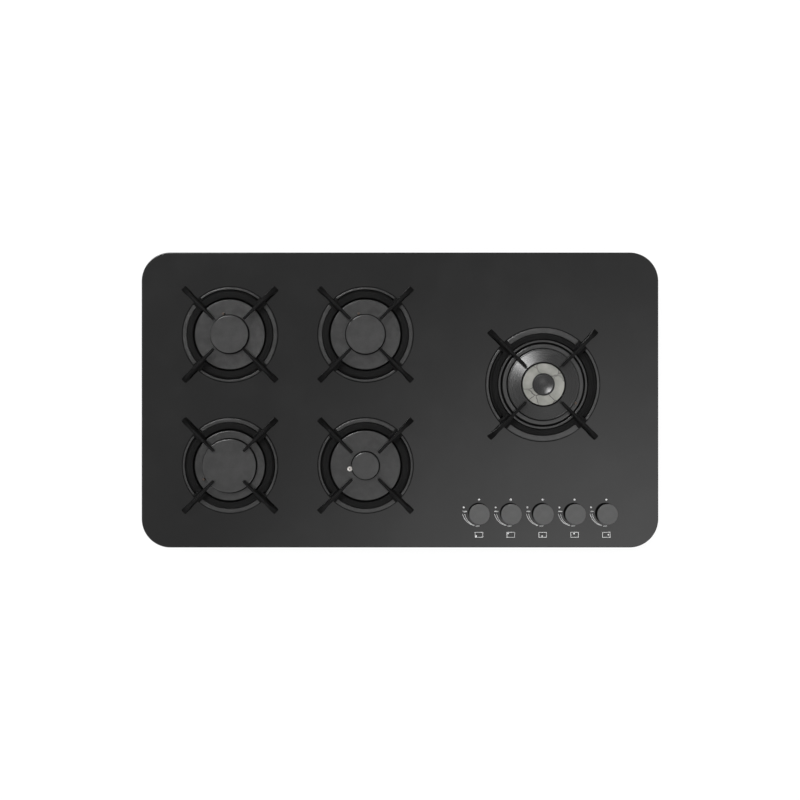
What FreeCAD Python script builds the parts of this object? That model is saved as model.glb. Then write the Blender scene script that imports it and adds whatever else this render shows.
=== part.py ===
import FreeCAD, Part
import math
import os

# Built-in gas cooktop with a black glass top, five burners and five knobs.
# Millimetres, +Z up, +X to the right, +Y to the rear.
# The origin is under the middle of the glass, on the underside of the steel tray.

Vector = FreeCAD.Vector
UP = Vector(0, 0, 1)
RIGHTWARD = Vector(1, 0, 0)
REARWARD = Vector(0, 1, 0)

# ---- glass top
GLASS_LENGTH = 900.0
GLASS_WIDTH = 514.0
GLASS_CORNER = 50.0
GLASS_THICK = 8.0
GLASS_BEVEL = 1.2
GLASS_UNDER = 50.0
GLASS_TOP = GLASS_UNDER + GLASS_THICK
SPINDLE_HOLE_R = 7.0

# ---- steel tray under the glass, with a raised floor in its rear right corner
TRAY_LENGTH = 826.0
TRAY_WIDTH = 466.0
TRAY_CORNER = 30.0
SHEET = 1.0
TRAY_FLANGE = 8.0
STEP_X = 338.0
STEP_Y = 178.0
STEP_FLOOR = 30.0
VENT_LENGTH = 40.0
VENT_WIDTH = 5.0
VENT_PITCH = 14.0
VENT_COUNT = 6
VENT_ROWS = ((-178.0, 0.0), (60.0, 150.0))
SEAL_WIDTH = 10.0
SEAL_THICK = 3.0
SEAL_INSET = 4.0

# ---- heights above the glass
GASKET = 0.8
GROOVE_FLOOR = 2.3
RIM_TOP = 4.0
PLATEAU_TOP = 8.0
CROWN_TOP = 21.0
CAP_TOP = 26.0
PAN_TOP = 46.0

# ---- bowls and the rings of the pan supports in them, as radii: the rim's edge, the raised middle,
# the hole in the glass, the gasket's bore, the iron ring, its lip, its bosses and its feet
SMALL_BOWL = dict(rim=82.5, plateau=61.0, hole=56.0, gasket_in=61.0, ring_in=63.5, ring_out=75.0,
                  lip_out=76.9, boss_out=83.5, foot=114.5)
LARGE_BOWL = dict(rim=98.7, plateau=70.3, hole=68.0, gasket_in=70.0, ring_in=78.2, ring_out=88.7,
                  lip_out=92.6, boss_out=99.5, foot=132.0)
BOWL_WALL = 1.5
RIDGE_IN = 73.6
RIDGE_OUT = 77.6
RIM_GAP = 1.7
RIM_GAP_ANGLE = 1.5
NARROW_HALF_ANGLE = 46.0

# ---- cast-iron pan supports
SUPPORT_LIFT = 0.4
RING_HEIGHT = 9.5
LIP_HEIGHT = 7.0
LIP_HALF_ANGLE = 37.6
BOSS_HALF_ANGLE = 6.0
FINGER_ANGLES = (45.0, 135.0, 225.0, 315.0)
TIP_DEPTH = 8.5
TIP_HALF = 2.2
BLADE_HALF = 2.6
POST_HALF = 4.0
FOOT_HALF = 5.1
FOOT_LENGTH = 10.0
FOOT_PAD = 1.5
SHOULDER_REACH = 28.0
ARCH_TOP = 20.0
ARCH_TURNS = (15, 45, 75, 105, 135, 165)
PAD_HALF_LENGTH = 4.4
PAD_HALF_WIDTH = 4.0
PEG_R = 2.0
PEG_HEIGHT = 3.0

# ---- burner cups, crowns and caps
CUP_WALL = 2.5
CUP_FLOOR = 30.0
CUP_FLANGE = 8.0
CUP_FLANGE_TOP = 9.0
GAS_HEIGHT = 26.0
GAS_WAY_R = 1.8
GAS_BOSS_HALF = 5.0
GAS_BOSS_REACH = 6.0
CROWN_WALL = 3.5
CAP_OVERHANG = 2.0
CAP_LIP = 2.0
PORT_WIDTH = 1.6
PORT_PITCH = 5.5
OUTER_PORTS = (14.0, 19.0)
HUB_PORTS = (18.0, 22.0)
JET_R = 4.5
JET_HOLE_R = 0.6

# ---- crown and caps of the large burner
OUTER_CAP_R = 62.0
OUTER_CAP_IN = 38.5
OUTER_LIP_OUT = 50.0
LEDGE_IN = 40.5
LEDGE_OUT = 43.5
HUB_R = 37.0
HUB_TOP = 26.0
HUB_BORE = 12.0
HUB_WALL = 4.0
INNER_CAP_R = 18.2

# ---- spark electrodes and flame sensors
ELECTRODE_R = 3.2
ELECTRODE_HEAD_R = 4.2
ELECTRODE_FOOT = 44.5
ELECTRODE_TOP = 15.0
PIN_R = 1.0
PIN_TOP = 19.5
SENSOR_R = 2.2
SENSOR_FOOT = 48.0
SENSOR_TOP = 20.0
BOWL_GAP = 0.3
NOTCH_GAP = 0.8

# ---- knobs and taps
KNOB_R = 18.0
KNOB_BASE = 4.0
KNOB_TOP = 26.0
KNOB_WALL = 2.5
KNOB_ROOF = 3.0
KNOB_HUB_R = 7.0
KNOB_HUB_FOOT = 8.0
KNOB_Y = -198.0
KNOB_PITCH = 55.5
FIRST_KNOB_X = 137.5
SPINDLE_R = 3.0
SPINDLE_FLAT = 2.0
SPINDLE_FOOT = 17.0
SPINDLE_HEAD = 78.0
PLUG_LOW = 12.3
PLUG_HIGH = 35.7
PLUG_R_LOW = 6.5
PLUG_R_HIGH = 8.0
PLUG_END_GAP = 0.3
RUNNING_GAP = 0.05
FIT_GAP = 0.4
TAP_R = 12.0
TAP_LOW = 6.0
TAP_HIGH = 40.0
TAP_WAY_R = 1.2
MAGNET_Z = 18.0
MAGNET_R = 5.0
MAGNET_REACH = 22.0

# ---- gas line
MANIFOLD_Y = -174.0
MANIFOLD_Z = 14.0
MANIFOLD_R = 6.0
MANIFOLD_BEND = 14.0
RISE_START_Y = 130.0
RISE_END_Y = 162.0
RISER_X = 392.0
ELBOW_Y = 206.0
ELBOW_Z = 40.0
ELBOW_R = 12.0
PIPE_R = 3.0
PIPE_BEND = 9.0
TIGHT_PIPE_BEND = 6.0
PIPE_LANES = {"front_left": -62.0, "rear_left": -54.0, "front_centre": -46.0, "rear_centre": -38.0}
PIPE_HUMP = 10.0
INLET_R = 10.48
INLET_BORE_R = 7.5
GLAND_X = 357.0
GLAND_R = 9.5
GLAND_STEM_R = 6.5
CABLE_R = 4.0

# ---- spark generator and its leads
GENERATOR_X = (30.0, 90.0)
GENERATOR_Y = (-215.0, -175.0)
GENERATOR_TOP = 31.0
GENERATOR_SCREWS_X = (24.0, 96.0)
GENERATOR_SCREW_Y = -195.0
SOCKET_R = 2.6
SOCKET_HEIGHT = 3.0
FIRST_SOCKET_X = 38.0
SOCKET_PITCH = 11.0
SOCKET_Y = -185.0
LEAD_R = 1.2
LEAD_Z = 41.0
LEAD_BEND = 2.4
LEAD_ORDER = ("front_centre", "front_left", "rear_left", "rear_centre", "right")
LEAD_LANES = {"front_centre": -60.0, "front_left": -52.0, "rear_left": -44.0, "rear_centre": -36.0}
SENSOR_LEAD_R = 1.0
SENSOR_LEAD_Z = 43.5
SENSOR_BEND = 1.9
SENSOR_LANES = {"front_left": (-365.0, -56.0), "rear_left": (-345.0, -48.0), "rear_centre": (-110.0, -40.0)}
SENSOR_DROP_X = 30.0
FRONT_LANE_Y = -222.0

# ---- fasteners and clamps
SCREW_R = 2.0
SCREW_HEAD_R = 4.0
SCREW_HEAD_DEPTH = 2.0
SCREW_END = 7.5
SCREW_ANGLES = (60.0, 180.0, 300.0)
SCREW_INSET = 4.5
SLOT_ARM = 2.2
SLOT_HALF = 0.5
SLOT_DEPTH = 0.9
SIDE_HEAD_HEIGHT = 2.2
SIDE_SCREW_LENGTH = 8.0
SIDE_SCREW_RISE = 12.0
CLAMP_X = 250.0
CLAMP_TONGUE_Z = 17.0
CLAMP_REACH = 22.0
CLAMP_WIDTH = 20.0
CLAMP_THICK = 2.0
CLAMP_LEG = 20.0
CLAMP_TOOTH = 3.0

# ---- the burners: place, bowl, cap and cup radii, finger tips, the angle of the quarters with the
# wide rim, and the places of the spark electrode and the flame sensor
SMALL_BURNERS = {
    "rear_left": dict(
        x=-296.0, y=114.0, bowl=SMALL_BOWL, cap=33.0, cup=24.5, tip=36.0, wide=0.0,
        spark_angle=270.0, spark_r=29.0, head_r=ELECTRODE_R, sensor_angle=107.0, sensor_r=37.5,
    ),
    "rear_centre": dict(
        x=-60.0, y=114.0, bowl=SMALL_BOWL, cap=34.0, cup=24.5, tip=36.0, wide=0.0,
        spark_angle=270.0, spark_r=30.0, head_r=ELECTRODE_R, sensor_angle=108.0, sensor_r=38.0,
    ),
    "front_left": dict(
        x=-296.0, y=-114.0, bowl=SMALL_BOWL, cap=46.5, cup=33.0, tip=36.0, wide=90.0,
        spark_angle=90.0, spark_r=42.0, head_r=ELECTRODE_R, sensor_angle=208.0, sensor_r=50.5,
    ),
    "front_centre": dict(
        x=-60.0, y=-114.0, bowl=SMALL_BOWL, cap=23.8, cup=17.0, tip=32.0, wide=90.0,
        spark_angle=191.6, spark_r=27.8, head_r=ELECTRODE_HEAD_R, sensor_angle=270.0, sensor_r=20.8,
    ),
}
RIGHT = dict(
    x=248.5, y=27.0, bowl=LARGE_BOWL, cup=44.0, tip=44.0, wide=90.0,
    spark_angle=180.0, spark_r=57.0, head_r=ELECTRODE_R, sensor_angle=-30.0, sensor_r=65.0,
)
BURNERS = {**SMALL_BURNERS, "right": RIGHT}

# the knobs from left to right, by the burner that each one serves
KNOB_ORDER = ("front_left", "rear_left", "front_centre", "rear_centre", "right")


# ---------------------------------------------------------------- shapes that repeat

def above(height):
    """A height above the glass, as a Z."""
    return GLASS_TOP + height


def centre(burner):
    return burner["x"], burner["y"]


def around(burner, radius, degrees):
    """The X and Y of a point at a radius and an angle around a burner."""
    turn = math.radians(degrees)
    return burner["x"] + radius * math.cos(turn), burner["y"] + radius * math.sin(turn)


def knob_places():
    return [FIRST_KNOB_X + KNOB_PITCH * n for n in range(len(KNOB_ORDER))]


def cylinder(radius, low, high, at=(0.0, 0.0)):
    return Part.makeCylinder(radius, high - low, Vector(at[0], at[1], low))


def cone(radius_low, radius_high, low, high, at=(0.0, 0.0)):
    return Part.makeCone(radius_low, radius_high, high - low, Vector(at[0], at[1], low))


def ring(inner, outer, low, high, at=(0.0, 0.0)):
    return cylinder(outer, low, high, at).cut(cylinder(inner, low, high, at))


def box(x_low, x_high, y_low, y_high, low, high):
    return Part.makeBox(x_high - x_low, y_high - y_low, high - low, Vector(x_low, y_low, low))


def moved(shape, at):
    copy = shape.copy()
    copy.translate(Vector(at[0], at[1], 0))
    return copy


def turned(shape, degrees):
    copy = shape.copy()
    copy.rotate(Vector(0, 0, 0), UP, degrees)
    return copy


def lathe(points):
    """The solid that a closed outline of (radius, z) points sweeps around the Z axis."""
    outline = [Vector(r, 0, z) for r, z in points]
    return Part.Face(Part.makePolygon(outline + outline[:1])).revolve(Vector(0, 0, 0), UP, 360)


def lathe_above(points):
    """The same from (radius, height above the glass) points."""
    return lathe([(r, above(height)) for r, height in points])


def sector(inner, outer, low, high, half_angle, middle):
    """A piece of a flat ring, to both sides of its middle angle in degrees."""
    corners = [(inner, low), (inner, high), (outer, high), (outer, low), (inner, low)]
    face = Part.Face(Part.makePolygon([Vector(r, 0, z) for r, z in corners]))
    return turned(face.revolve(Vector(0, 0, 0), UP, 2 * half_angle), middle - half_angle)


def slab(points, low, high):
    """An upright prism over a closed outline of (x, y) points."""
    outline = [Vector(x, y, low) for x, y in points]
    return Part.Face(Part.makePolygon(outline + outline[:1])).extrude(Vector(0, 0, high - low))


def hexagon(radius, low, high, at):
    """A six-sided collar or nut, by its corner radius."""
    turns = [math.radians(60 * n) for n in range(6)]
    return slab([(at[0] + radius * math.cos(t), at[1] + radius * math.sin(t)) for t in turns], low, high)


def upright_edges(block):
    return [e for e in block.Edges if abs(e.Vertexes[0].Z - e.Vertexes[1].Z) > block.BoundBox.ZLength / 2]


def rounded_block(length, width, corner, low, high):
    """A block centred on the Z axis, with its four upright edges rounded."""
    block = box(-length / 2, length / 2, -width / 2, width / 2, low, high)
    return block.makeFillet(corner, upright_edges(block))


def bent_tube(points, radius, bend):
    """A round bar along straight runs that tangent arcs join."""
    spots = [Vector(*p) for p in points]
    edges = []
    start = spots[0]
    for before, corner, after in zip(spots, spots[1:], spots[2:]):
        into = (corner - before).normalize()
        out = (after - corner).normalize()
        turn = into.getAngle(out)
        reach = bend * math.tan(turn / 2)
        enter = corner - into * reach
        leave = corner + out * reach
        inward = (out - into).normalize()
        middle = corner + inward * (bend / math.cos(turn / 2) - bend)
        edges.append(Part.LineSegment(start, enter).toShape())
        edges.append(Part.Arc(enter, middle, leave).toShape())
        start = leave
    edges.append(Part.LineSegment(start, spots[-1]).toShape())
    section = Part.Wire([Part.Circle(spots[0], spots[1] - spots[0], radius).toShape()])
    return Part.Wire(edges).makePipeShell([section], True, False)


def group(shapes):
    return Part.makeCompound(shapes)


def save(name, shape):
    if not shape.isValid() or not shape.Solids:
        raise ValueError(f"{name} is not a valid solid")
    shape.exportStep(f"parts/{name}.step")


# ---------------------------------------------------------------- fasteners and clamps

def cup_screw_spots(burner):
    return [around(burner, burner["cup"] + SCREW_INSET, angle) for angle in SCREW_ANGLES]


def floor_screw_spots():
    """Where the flat-head screws hold the cups and the spark generator to the tray."""
    spots = [at for burner in BURNERS.values() for at in cup_screw_spots(burner)]
    return spots + [(x, GENERATOR_SCREW_Y) for x in GENERATOR_SCREWS_X]


def flat_screw(at, gap=0.0):
    """A flat-head screw driven up through the tray, flush with its underside."""
    head = cone(SCREW_HEAD_R + gap, SCREW_R + gap, 0.0, SCREW_HEAD_DEPTH, at)
    shank = cylinder(SCREW_R + gap, SCREW_HEAD_DEPTH / 2, SCREW_END + gap, at)
    return head.fuse(shank)


def cross_slot(at):
    x, y = at
    one = box(x - SLOT_ARM, x + SLOT_ARM, y - SLOT_HALF, y + SLOT_HALF, 0.0, SLOT_DEPTH)
    other = box(x - SLOT_HALF, x + SLOT_HALF, y - SLOT_ARM, y + SLOT_ARM, 0.0, SLOT_DEPTH)
    return one.fuse(other)


def clamp_spots():
    """Each clamp's X and the side of the tray that it is on, -1 front and 1 rear."""
    return [(x, side) for side in (-1, 1) for x in (-CLAMP_X, CLAMP_X)]


def side_screw(x, side, gap=0.0):
    """A round-head screw through a clamp's upright leg and the tray's wall."""
    face = TRAY_WIDTH / 2 + CLAMP_THICK
    z = CLAMP_TONGUE_Z + SIDE_SCREW_RISE
    inward = Vector(0, -side, 0)
    head_end = Vector(x, side * (face + SIDE_HEAD_HEIGHT), z)
    shank_start = Vector(x, side * (face + 0.2), z)
    shank = Part.makeCylinder(SCREW_R + gap, SIDE_SCREW_LENGTH, shank_start, inward)
    return shank if gap else shank.fuse(Part.makeCylinder(SCREW_HEAD_R, SIDE_HEAD_HEIGHT, head_end, inward))


def make_fixing_screws():
    flat = [flat_screw(at).cut(cross_slot(at)) for at in floor_screw_spots()]
    return group(flat + [side_screw(x, side) for x, side in clamp_spots()])


def clamp_plate(x, side, near, far, low, high):
    """A plate of a clamp between two distances out from the tray's wall."""
    y = sorted(side * (TRAY_WIDTH / 2 + reach) for reach in (near, far))
    return box(x - CLAMP_WIDTH / 2, x + CLAMP_WIDTH / 2, y[0], y[1], low, high)


def make_worktop_clamps():
    low = CLAMP_TONGUE_Z - CLAMP_THICK
    clamps = []
    for x, side in clamp_spots():
        leg = clamp_plate(x, side, 0, CLAMP_THICK, low, CLAMP_TONGUE_Z + CLAMP_LEG)
        tongue = clamp_plate(x, side, 0, CLAMP_REACH, low, CLAMP_TONGUE_Z)
        tooth = clamp_plate(x, side, CLAMP_REACH - CLAMP_THICK, CLAMP_REACH, low - CLAMP_TOOTH, low + 1.0)
        clamp = leg.fuse([tongue, tooth]).removeSplitter()
        clamps.append(clamp.cut(side_screw(x, side, RUNNING_GAP)))
    return group(clamps)


# ---------------------------------------------------------------- glass and tray

def make_glass_panel():
    glass = rounded_block(GLASS_LENGTH, GLASS_WIDTH, GLASS_CORNER, GLASS_UNDER, GLASS_TOP)
    rim = [e for e in glass.Edges if all(abs(v.Z - GLASS_TOP) < 0.01 for v in e.Vertexes)]
    glass = glass.makeChamfer(GLASS_BEVEL, rim)
    holes = [(b["bowl"]["hole"], centre(b)) for b in BURNERS.values()]
    holes += [(SPINDLE_HOLE_R, (x, KNOB_Y)) for x in knob_places()]
    return glass.cut([cylinder(radius, GLASS_UNDER - 1, GLASS_TOP + 1, at) for radius, at in holes])


def tray_block(inset, floor, top):
    """The tray's outside, or its inside when inset by the sheet's thickness."""
    block = rounded_block(TRAY_LENGTH - 2 * inset, TRAY_WIDTH - 2 * inset, TRAY_CORNER - inset, floor, top)
    step = box(STEP_X - inset, TRAY_LENGTH, STEP_Y - inset, TRAY_WIDTH, -1.0, STEP_FLOOR + inset)
    return block.cut(step)


def make_base_tray():
    shell = tray_block(0.0, 0.0, GLASS_UNDER).cut(tray_block(SHEET, SHEET, GLASS_UNDER + 1.0))
    flange = rounded_block(TRAY_LENGTH + 2 * TRAY_FLANGE, TRAY_WIDTH + 2 * TRAY_FLANGE,
                           TRAY_CORNER + TRAY_FLANGE, GLASS_UNDER - SHEET, GLASS_UNDER)
    opening = rounded_block(TRAY_LENGTH - 2 * SHEET, TRAY_WIDTH - 2 * SHEET,
                            TRAY_CORNER - SHEET, GLASS_UNDER - SHEET - 1, GLASS_UNDER + 1)
    tray = shell.fuse(flange.cut(opening)).removeSplitter()
    cuts = [flat_screw(at, RUNNING_GAP) for at in floor_screw_spots()]
    cuts += [side_screw(x, side, RUNNING_GAP) for x, side in clamp_spots()]
    cuts.append(cylinder(ELBOW_R - 1.0, STEP_FLOOR - 1, STEP_FLOOR + 2, (RISER_X, ELBOW_Y)))
    cuts.append(cylinder(GLAND_STEM_R + BOWL_GAP, STEP_FLOOR - 1, STEP_FLOOR + 2, (GLAND_X, ELBOW_Y)))
    for x, y in VENT_ROWS:
        for n in range(VENT_COUNT):
            left = x + (n - (VENT_COUNT - 1) / 2) * VENT_PITCH - VENT_WIDTH / 2
            cuts.append(box(left, left + VENT_WIDTH, y - VENT_LENGTH / 2, y + VENT_LENGTH / 2, -1, 2))
    return tray.cut(cuts)


def make_worktop_seal():
    low = GLASS_UNDER - SEAL_THICK
    outer = rounded_block(GLASS_LENGTH - 2 * SEAL_INSET, GLASS_WIDTH - 2 * SEAL_INSET,
                          GLASS_CORNER - SEAL_INSET, low, GLASS_UNDER)
    inset = SEAL_INSET + SEAL_WIDTH
    inner = rounded_block(GLASS_LENGTH - 2 * inset, GLASS_WIDTH - 2 * inset,
                          GLASS_CORNER - inset, low - 1, GLASS_UNDER + 1)
    return outer.cut(inner)


# ---------------------------------------------------------------- bowls

def sensor_holes(burner, gap):
    """The upright holes for a burner's spark electrode and flame sensor."""
    spark = around(burner, burner["spark_r"], burner["spark_angle"])
    sensor = around(burner, burner["sensor_r"], burner["sensor_angle"])
    return [cylinder(ELECTRODE_R + gap, above(0), above(CAP_TOP), spark),
            cylinder(SENSOR_R + gap, above(0), above(CAP_TOP), sensor)]


def keyed_rim(bowl, sizes, wide):
    """Cuts the rim back in the two narrow quarters, where the pan support's lip sits in it."""
    groove_out = sizes["ring_out"] + FIT_GAP
    floor = above(GROOVE_FLOOR)
    top = above(RIM_TOP + 1)
    gap_half = math.degrees(RIM_GAP / 2 / sizes["rim"])
    cuts = []
    for middle in (wide + 90.0, wide + 270.0):
        cuts.append(sector(groove_out - 1, sizes["lip_out"] + RIM_GAP, floor, top, NARROW_HALF_ANGLE, middle))
        for side in (-1, 1):
            gap_middle = middle + side * (LIP_HALF_ANGLE + RIM_GAP_ANGLE)
            cuts.append(sector(groove_out - 1, sizes["rim"] - 1.2, floor, top, gap_half, gap_middle))
    return bowl.cut(cuts)


def make_bowl(burner):
    """A pressed bowl: a low rim, a groove for the pan support and a raised middle with a hole."""
    sizes = burner["bowl"]
    rim = sizes["rim"]
    plateau = sizes["plateau"]
    groove_out = sizes["ring_out"] + FIT_GAP
    mouth = burner["cup"] + 0.5
    under = PLATEAU_TOP - BOWL_WALL
    ridge = []
    if burner is RIGHT:
        ridge = [(RIDGE_OUT, GROOVE_FLOOR), (RIDGE_OUT, RIM_TOP),
                 (RIDGE_IN, RIM_TOP), (RIDGE_IN, GROOVE_FLOOR)]
    bowl = lathe_above([
        (rim, 0), (rim, 2.4), (rim - 0.5, 3.5), (rim - 1.6, RIM_TOP), (groove_out, RIM_TOP),
        (groove_out, GROOVE_FLOOR), *ridge, (plateau, GROOVE_FLOOR), (plateau, PLATEAU_TOP - 1.2),
        (plateau - 0.35, PLATEAU_TOP - 0.35), (plateau - 1.2, PLATEAU_TOP), (mouth, PLATEAU_TOP),
        (mouth, under), (plateau - BOWL_WALL, under), (plateau - BOWL_WALL, GASKET),
        (rim - BOWL_WALL, GASKET), (rim - BOWL_WALL, 0),
    ])
    bowl = keyed_rim(bowl, sizes, burner["wide"])
    return moved(bowl, centre(burner)).cut(sensor_holes(burner, BOWL_GAP))


def make_bowl_gaskets():
    rings = []
    for burner in BURNERS.values():
        sizes = burner["bowl"]
        rings.append(ring(sizes["gasket_in"], sizes["rim"] - 3.0, GLASS_TOP, above(GASKET), centre(burner)))
    return group(rings)


# ---------------------------------------------------------------- pan supports

def finger(tip, sizes):
    """One cast finger along +X: thin blade inside, post on the ring, sloping shoulder and foot outside."""
    ring_in = sizes["ring_in"]
    foot = sizes["foot"]
    boss_out = sizes["boss_out"]
    seat = RING_HEIGHT - 1.0
    toe = foot - FOOT_LENGTH
    shoulder = foot - SHOULDER_REACH
    reach = (toe - boss_out) / 2
    rise = ARCH_TOP - seat
    turns = [math.radians(degrees) for degrees in ARCH_TURNS]
    arch = [(boss_out + reach * (1 + math.cos(turn)), seat + rise * math.sin(turn)) for turn in turns]
    outline = [
        (boss_out - 1.0, seat), (ring_in + 0.5, seat), (ring_in + 0.5, 22.0),
        (ring_in - 3.0, 30.0), (ring_in - 9.0, 34.5), (tip, PAN_TOP - TIP_DEPTH), (tip, PAN_TOP - 1.2),
        (tip + 1.2, PAN_TOP), (shoulder, PAN_TOP), (shoulder + 5.0, PAN_TOP - 2.0), (foot - 11.0, 33.0),
        (foot - 1.0, 13.0), (foot, 10.0), (foot, FOOT_PAD), (toe, FOOT_PAD), *arch,
    ]
    corners = [Vector(r, 0, above(height)) for r, height in outline]
    corners.append(corners[0])
    side_view = Part.Face(Part.makePolygon(corners)).extrude(Vector(0, 4 * FOOT_HALF, 0))
    side_view.translate(Vector(0, -2 * FOOT_HALF, 0))
    halves = [
        (tip, TIP_HALF), (tip + 1.0, BLADE_HALF), (ring_in - 5.0, BLADE_HALF + 0.2),
        (ring_in + 2.0, POST_HALF), (boss_out - 1.0, POST_HALF), (foot - 19.0, POST_HALF - 0.4),
        (foot - 9.0, FOOT_HALF), (foot - 0.8, FOOT_HALF), (foot, FOOT_HALF - 0.8),
    ]
    plan = [(r, -half) for r, half in halves] + [(r, half) for r, half in reversed(halves)]
    peg_hole = cylinder(PEG_R + RUNNING_GAP, above(0), above(FOOT_PAD + PEG_HEIGHT + 0.3),
                        (foot - FOOT_LENGTH / 2, 0.0))
    return side_view.common(slab(plan, above(0), above(PAN_TOP + 1))).cut(peg_hole)


def make_pan_support(burner):
    """A cast ring in the bowl's groove, keyed by two lips, with four bosses that carry the fingers."""
    sizes = burner["bowl"]
    ring_in = sizes["ring_in"]
    ring_out = sizes["ring_out"]
    low = GROOVE_FLOOR + SUPPORT_LIFT
    body = lathe_above([
        (ring_in, low), (ring_in, RING_HEIGHT - 1.2), (ring_in + 1.2, RING_HEIGHT),
        (ring_out - 1.2, RING_HEIGHT), (ring_out, RING_HEIGHT - 1.2), (ring_out, low),
    ])
    lips = [sector(ring_out - 0.5, sizes["lip_out"], above(low), above(LIP_HEIGHT), LIP_HALF_ANGLE, middle)
            for middle in (burner["wide"] + 90.0, burner["wide"] + 270.0)]
    bosses = [sector(ring_out - 0.5, sizes["boss_out"], above(RIM_TOP + FIT_GAP), above(RING_HEIGHT),
                     BOSS_HALF_ANGLE, angle) for angle in FINGER_ANGLES]
    one = finger(burner["tip"], sizes)
    fingers = [turned(one, angle) for angle in FINGER_ANGLES]
    return moved(body.fuse(lips + bosses + fingers).removeSplitter(), centre(burner))


def make_pan_feet(burner):
    """The four rubber pads under a pan support, each with a peg up into the iron."""
    middle = burner["bowl"]["foot"] - FOOT_LENGTH / 2
    pad = box(middle - PAD_HALF_LENGTH, middle + PAD_HALF_LENGTH, -PAD_HALF_WIDTH, PAD_HALF_WIDTH,
              GLASS_TOP, above(FOOT_PAD))
    foot = pad.fuse(cylinder(PEG_R, above(FOOT_PAD / 2), above(FOOT_PAD + PEG_HEIGHT), (middle, 0.0)))
    return group([moved(turned(foot, angle), centre(burner)) for angle in FINGER_ANGLES])


# ---------------------------------------------------------------- burner cups and injectors

def gas_side(burner):
    """The way that a cup's gas boss points: to the right, to the front or to the rear."""
    if burner is RIGHT:
        return RIGHTWARD
    return -REARWARD if burner["y"] > 0 else REARWARD


def gas_mouth(burner):
    """The middle of the gas boss's outer face, where the pipe meets it."""
    return Vector(burner["x"], burner["y"], GAS_HEIGHT) + gas_side(burner) * (burner["cup"] + GAS_BOSS_REACH)


def gas_boss(burner):
    inner = Vector(burner["x"], burner["y"], GAS_HEIGHT) + gas_side(burner) * (burner["cup"] - GAS_BOSS_REACH)
    mouth = gas_mouth(burner)
    across = Vector(gas_side(burner).y, gas_side(burner).x, 0)
    half = GAS_BOSS_HALF * Vector(abs(across.x), abs(across.y), 1)
    low = Vector(min(inner.x, mouth.x), min(inner.y, mouth.y), GAS_HEIGHT) - half
    high = Vector(max(inner.x, mouth.x), max(inner.y, mouth.y), GAS_HEIGHT) + half
    return box(low.x, high.x, low.y, high.y, low.z, high.z)


def make_burner_cup(burner):
    """A cast cup that stands on the tray and opens under the crown, with its gas way in."""
    radius = burner["cup"]
    at = centre(burner)
    cup = lathe([
        (0.0, SHEET), (radius + CUP_FLANGE, SHEET), (radius + CUP_FLANGE, CUP_FLANGE_TOP),
        (radius - 1.0, CUP_FLANGE_TOP + 3.0), (radius - 1.0, 40.0), (radius, 44.0),
        (radius, above(PLATEAU_TOP)), (radius - CUP_WALL, above(PLATEAU_TOP)),
        (radius - CUP_WALL, CUP_FLOOR), (0.0, CUP_FLOOR),
    ])
    inlet = gas_mouth(burner)
    way = Vector(at[0], at[1], GAS_HEIGHT) - inlet
    cuts = [Part.makeCylinder(GAS_WAY_R, way.Length, inlet, way)]
    cuts.append(cylinder(GAS_WAY_R, GAS_HEIGHT, CUP_FLOOR + 1, at))
    cuts += [flat_screw(spot, RUNNING_GAP) for spot in cup_screw_spots(burner)]
    return moved(cup, at).fuse(gas_boss(burner)).cut(cuts)


def make_injectors():
    """A brass jet on each cup's floor, over its gas way."""
    shoulder = CUP_FLOOR + 4.0
    top = CUP_FLOOR + 8.0
    jets = []
    for burner in BURNERS.values():
        at = centre(burner)
        jet = cylinder(JET_R, CUP_FLOOR, shoulder, at).fuse(cone(JET_R - 1.5, JET_R - 2.5, shoulder, top, at))
        jets.append(jet.cut(cylinder(JET_HOLE_R, CUP_FLOOR, top, at)))
    return group(jets)


# ---------------------------------------------------------------- crowns and caps

def flame_ports(inner, outer, heights):
    """Slots that stand all round a wall, for the flames."""
    low, high = heights
    count = int(2 * math.pi * outer / PORT_PITCH)
    slot = box(inner - 1.0, outer + 1.0, -PORT_WIDTH / 2, PORT_WIDTH / 2, above(low), above(high))
    return [turned(slot, 360.0 * n / count) for n in range(count)]


def make_small_crown(burner):
    """The flame spreader: a flange on the cup, a slotted wall, a skirt in the cup and a mixing tube."""
    cap = burner["cap"]
    wall = cap - CAP_OVERHANG
    inside = wall - CROWN_WALL
    skirt = burner["cup"] - CUP_WALL - FIT_GAP
    tube = min(8.0, skirt - 4.0)
    seat = PLATEAU_TOP
    deck = seat + 2
    crown = lathe_above([
        (tube, -10), (tube, seat), (skirt - 2, seat), (skirt - 2, -2), (skirt, -2), (skirt, seat),
        (cap - 1, seat), (cap - 1, deck - 0.5), (wall, deck + 0.5), (wall, CROWN_TOP), (inside, CROWN_TOP),
        (inside, deck), (tube, deck), (tube, 14), (tube - 2, 14), (tube - 2, -10),
    ])
    crown = crown.cut(flame_ports(inside, wall, OUTER_PORTS))
    return moved(crown, centre(burner)).cut(sensor_holes(burner, NOTCH_GAP))


def make_small_cap(burner):
    """A flat lid with a lip below that keeps it in the middle of its crown."""
    cap = burner["cap"]
    lip = cap - CAP_OVERHANG - CROWN_WALL - 0.7
    shape = lathe_above([
        (0, CROWN_TOP), (lip - 2.5, CROWN_TOP), (lip - 2.5, CROWN_TOP - CAP_LIP), (lip, CROWN_TOP - CAP_LIP),
        (lip, CROWN_TOP), (cap - 0.6, CROWN_TOP), (cap, CROWN_TOP + 0.6), (cap, CAP_TOP - 1.4),
        (cap - 0.4, CAP_TOP - 0.4), (cap - 1.4, CAP_TOP), (0, CAP_TOP),
    ])
    return moved(shape, centre(burner))


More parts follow.
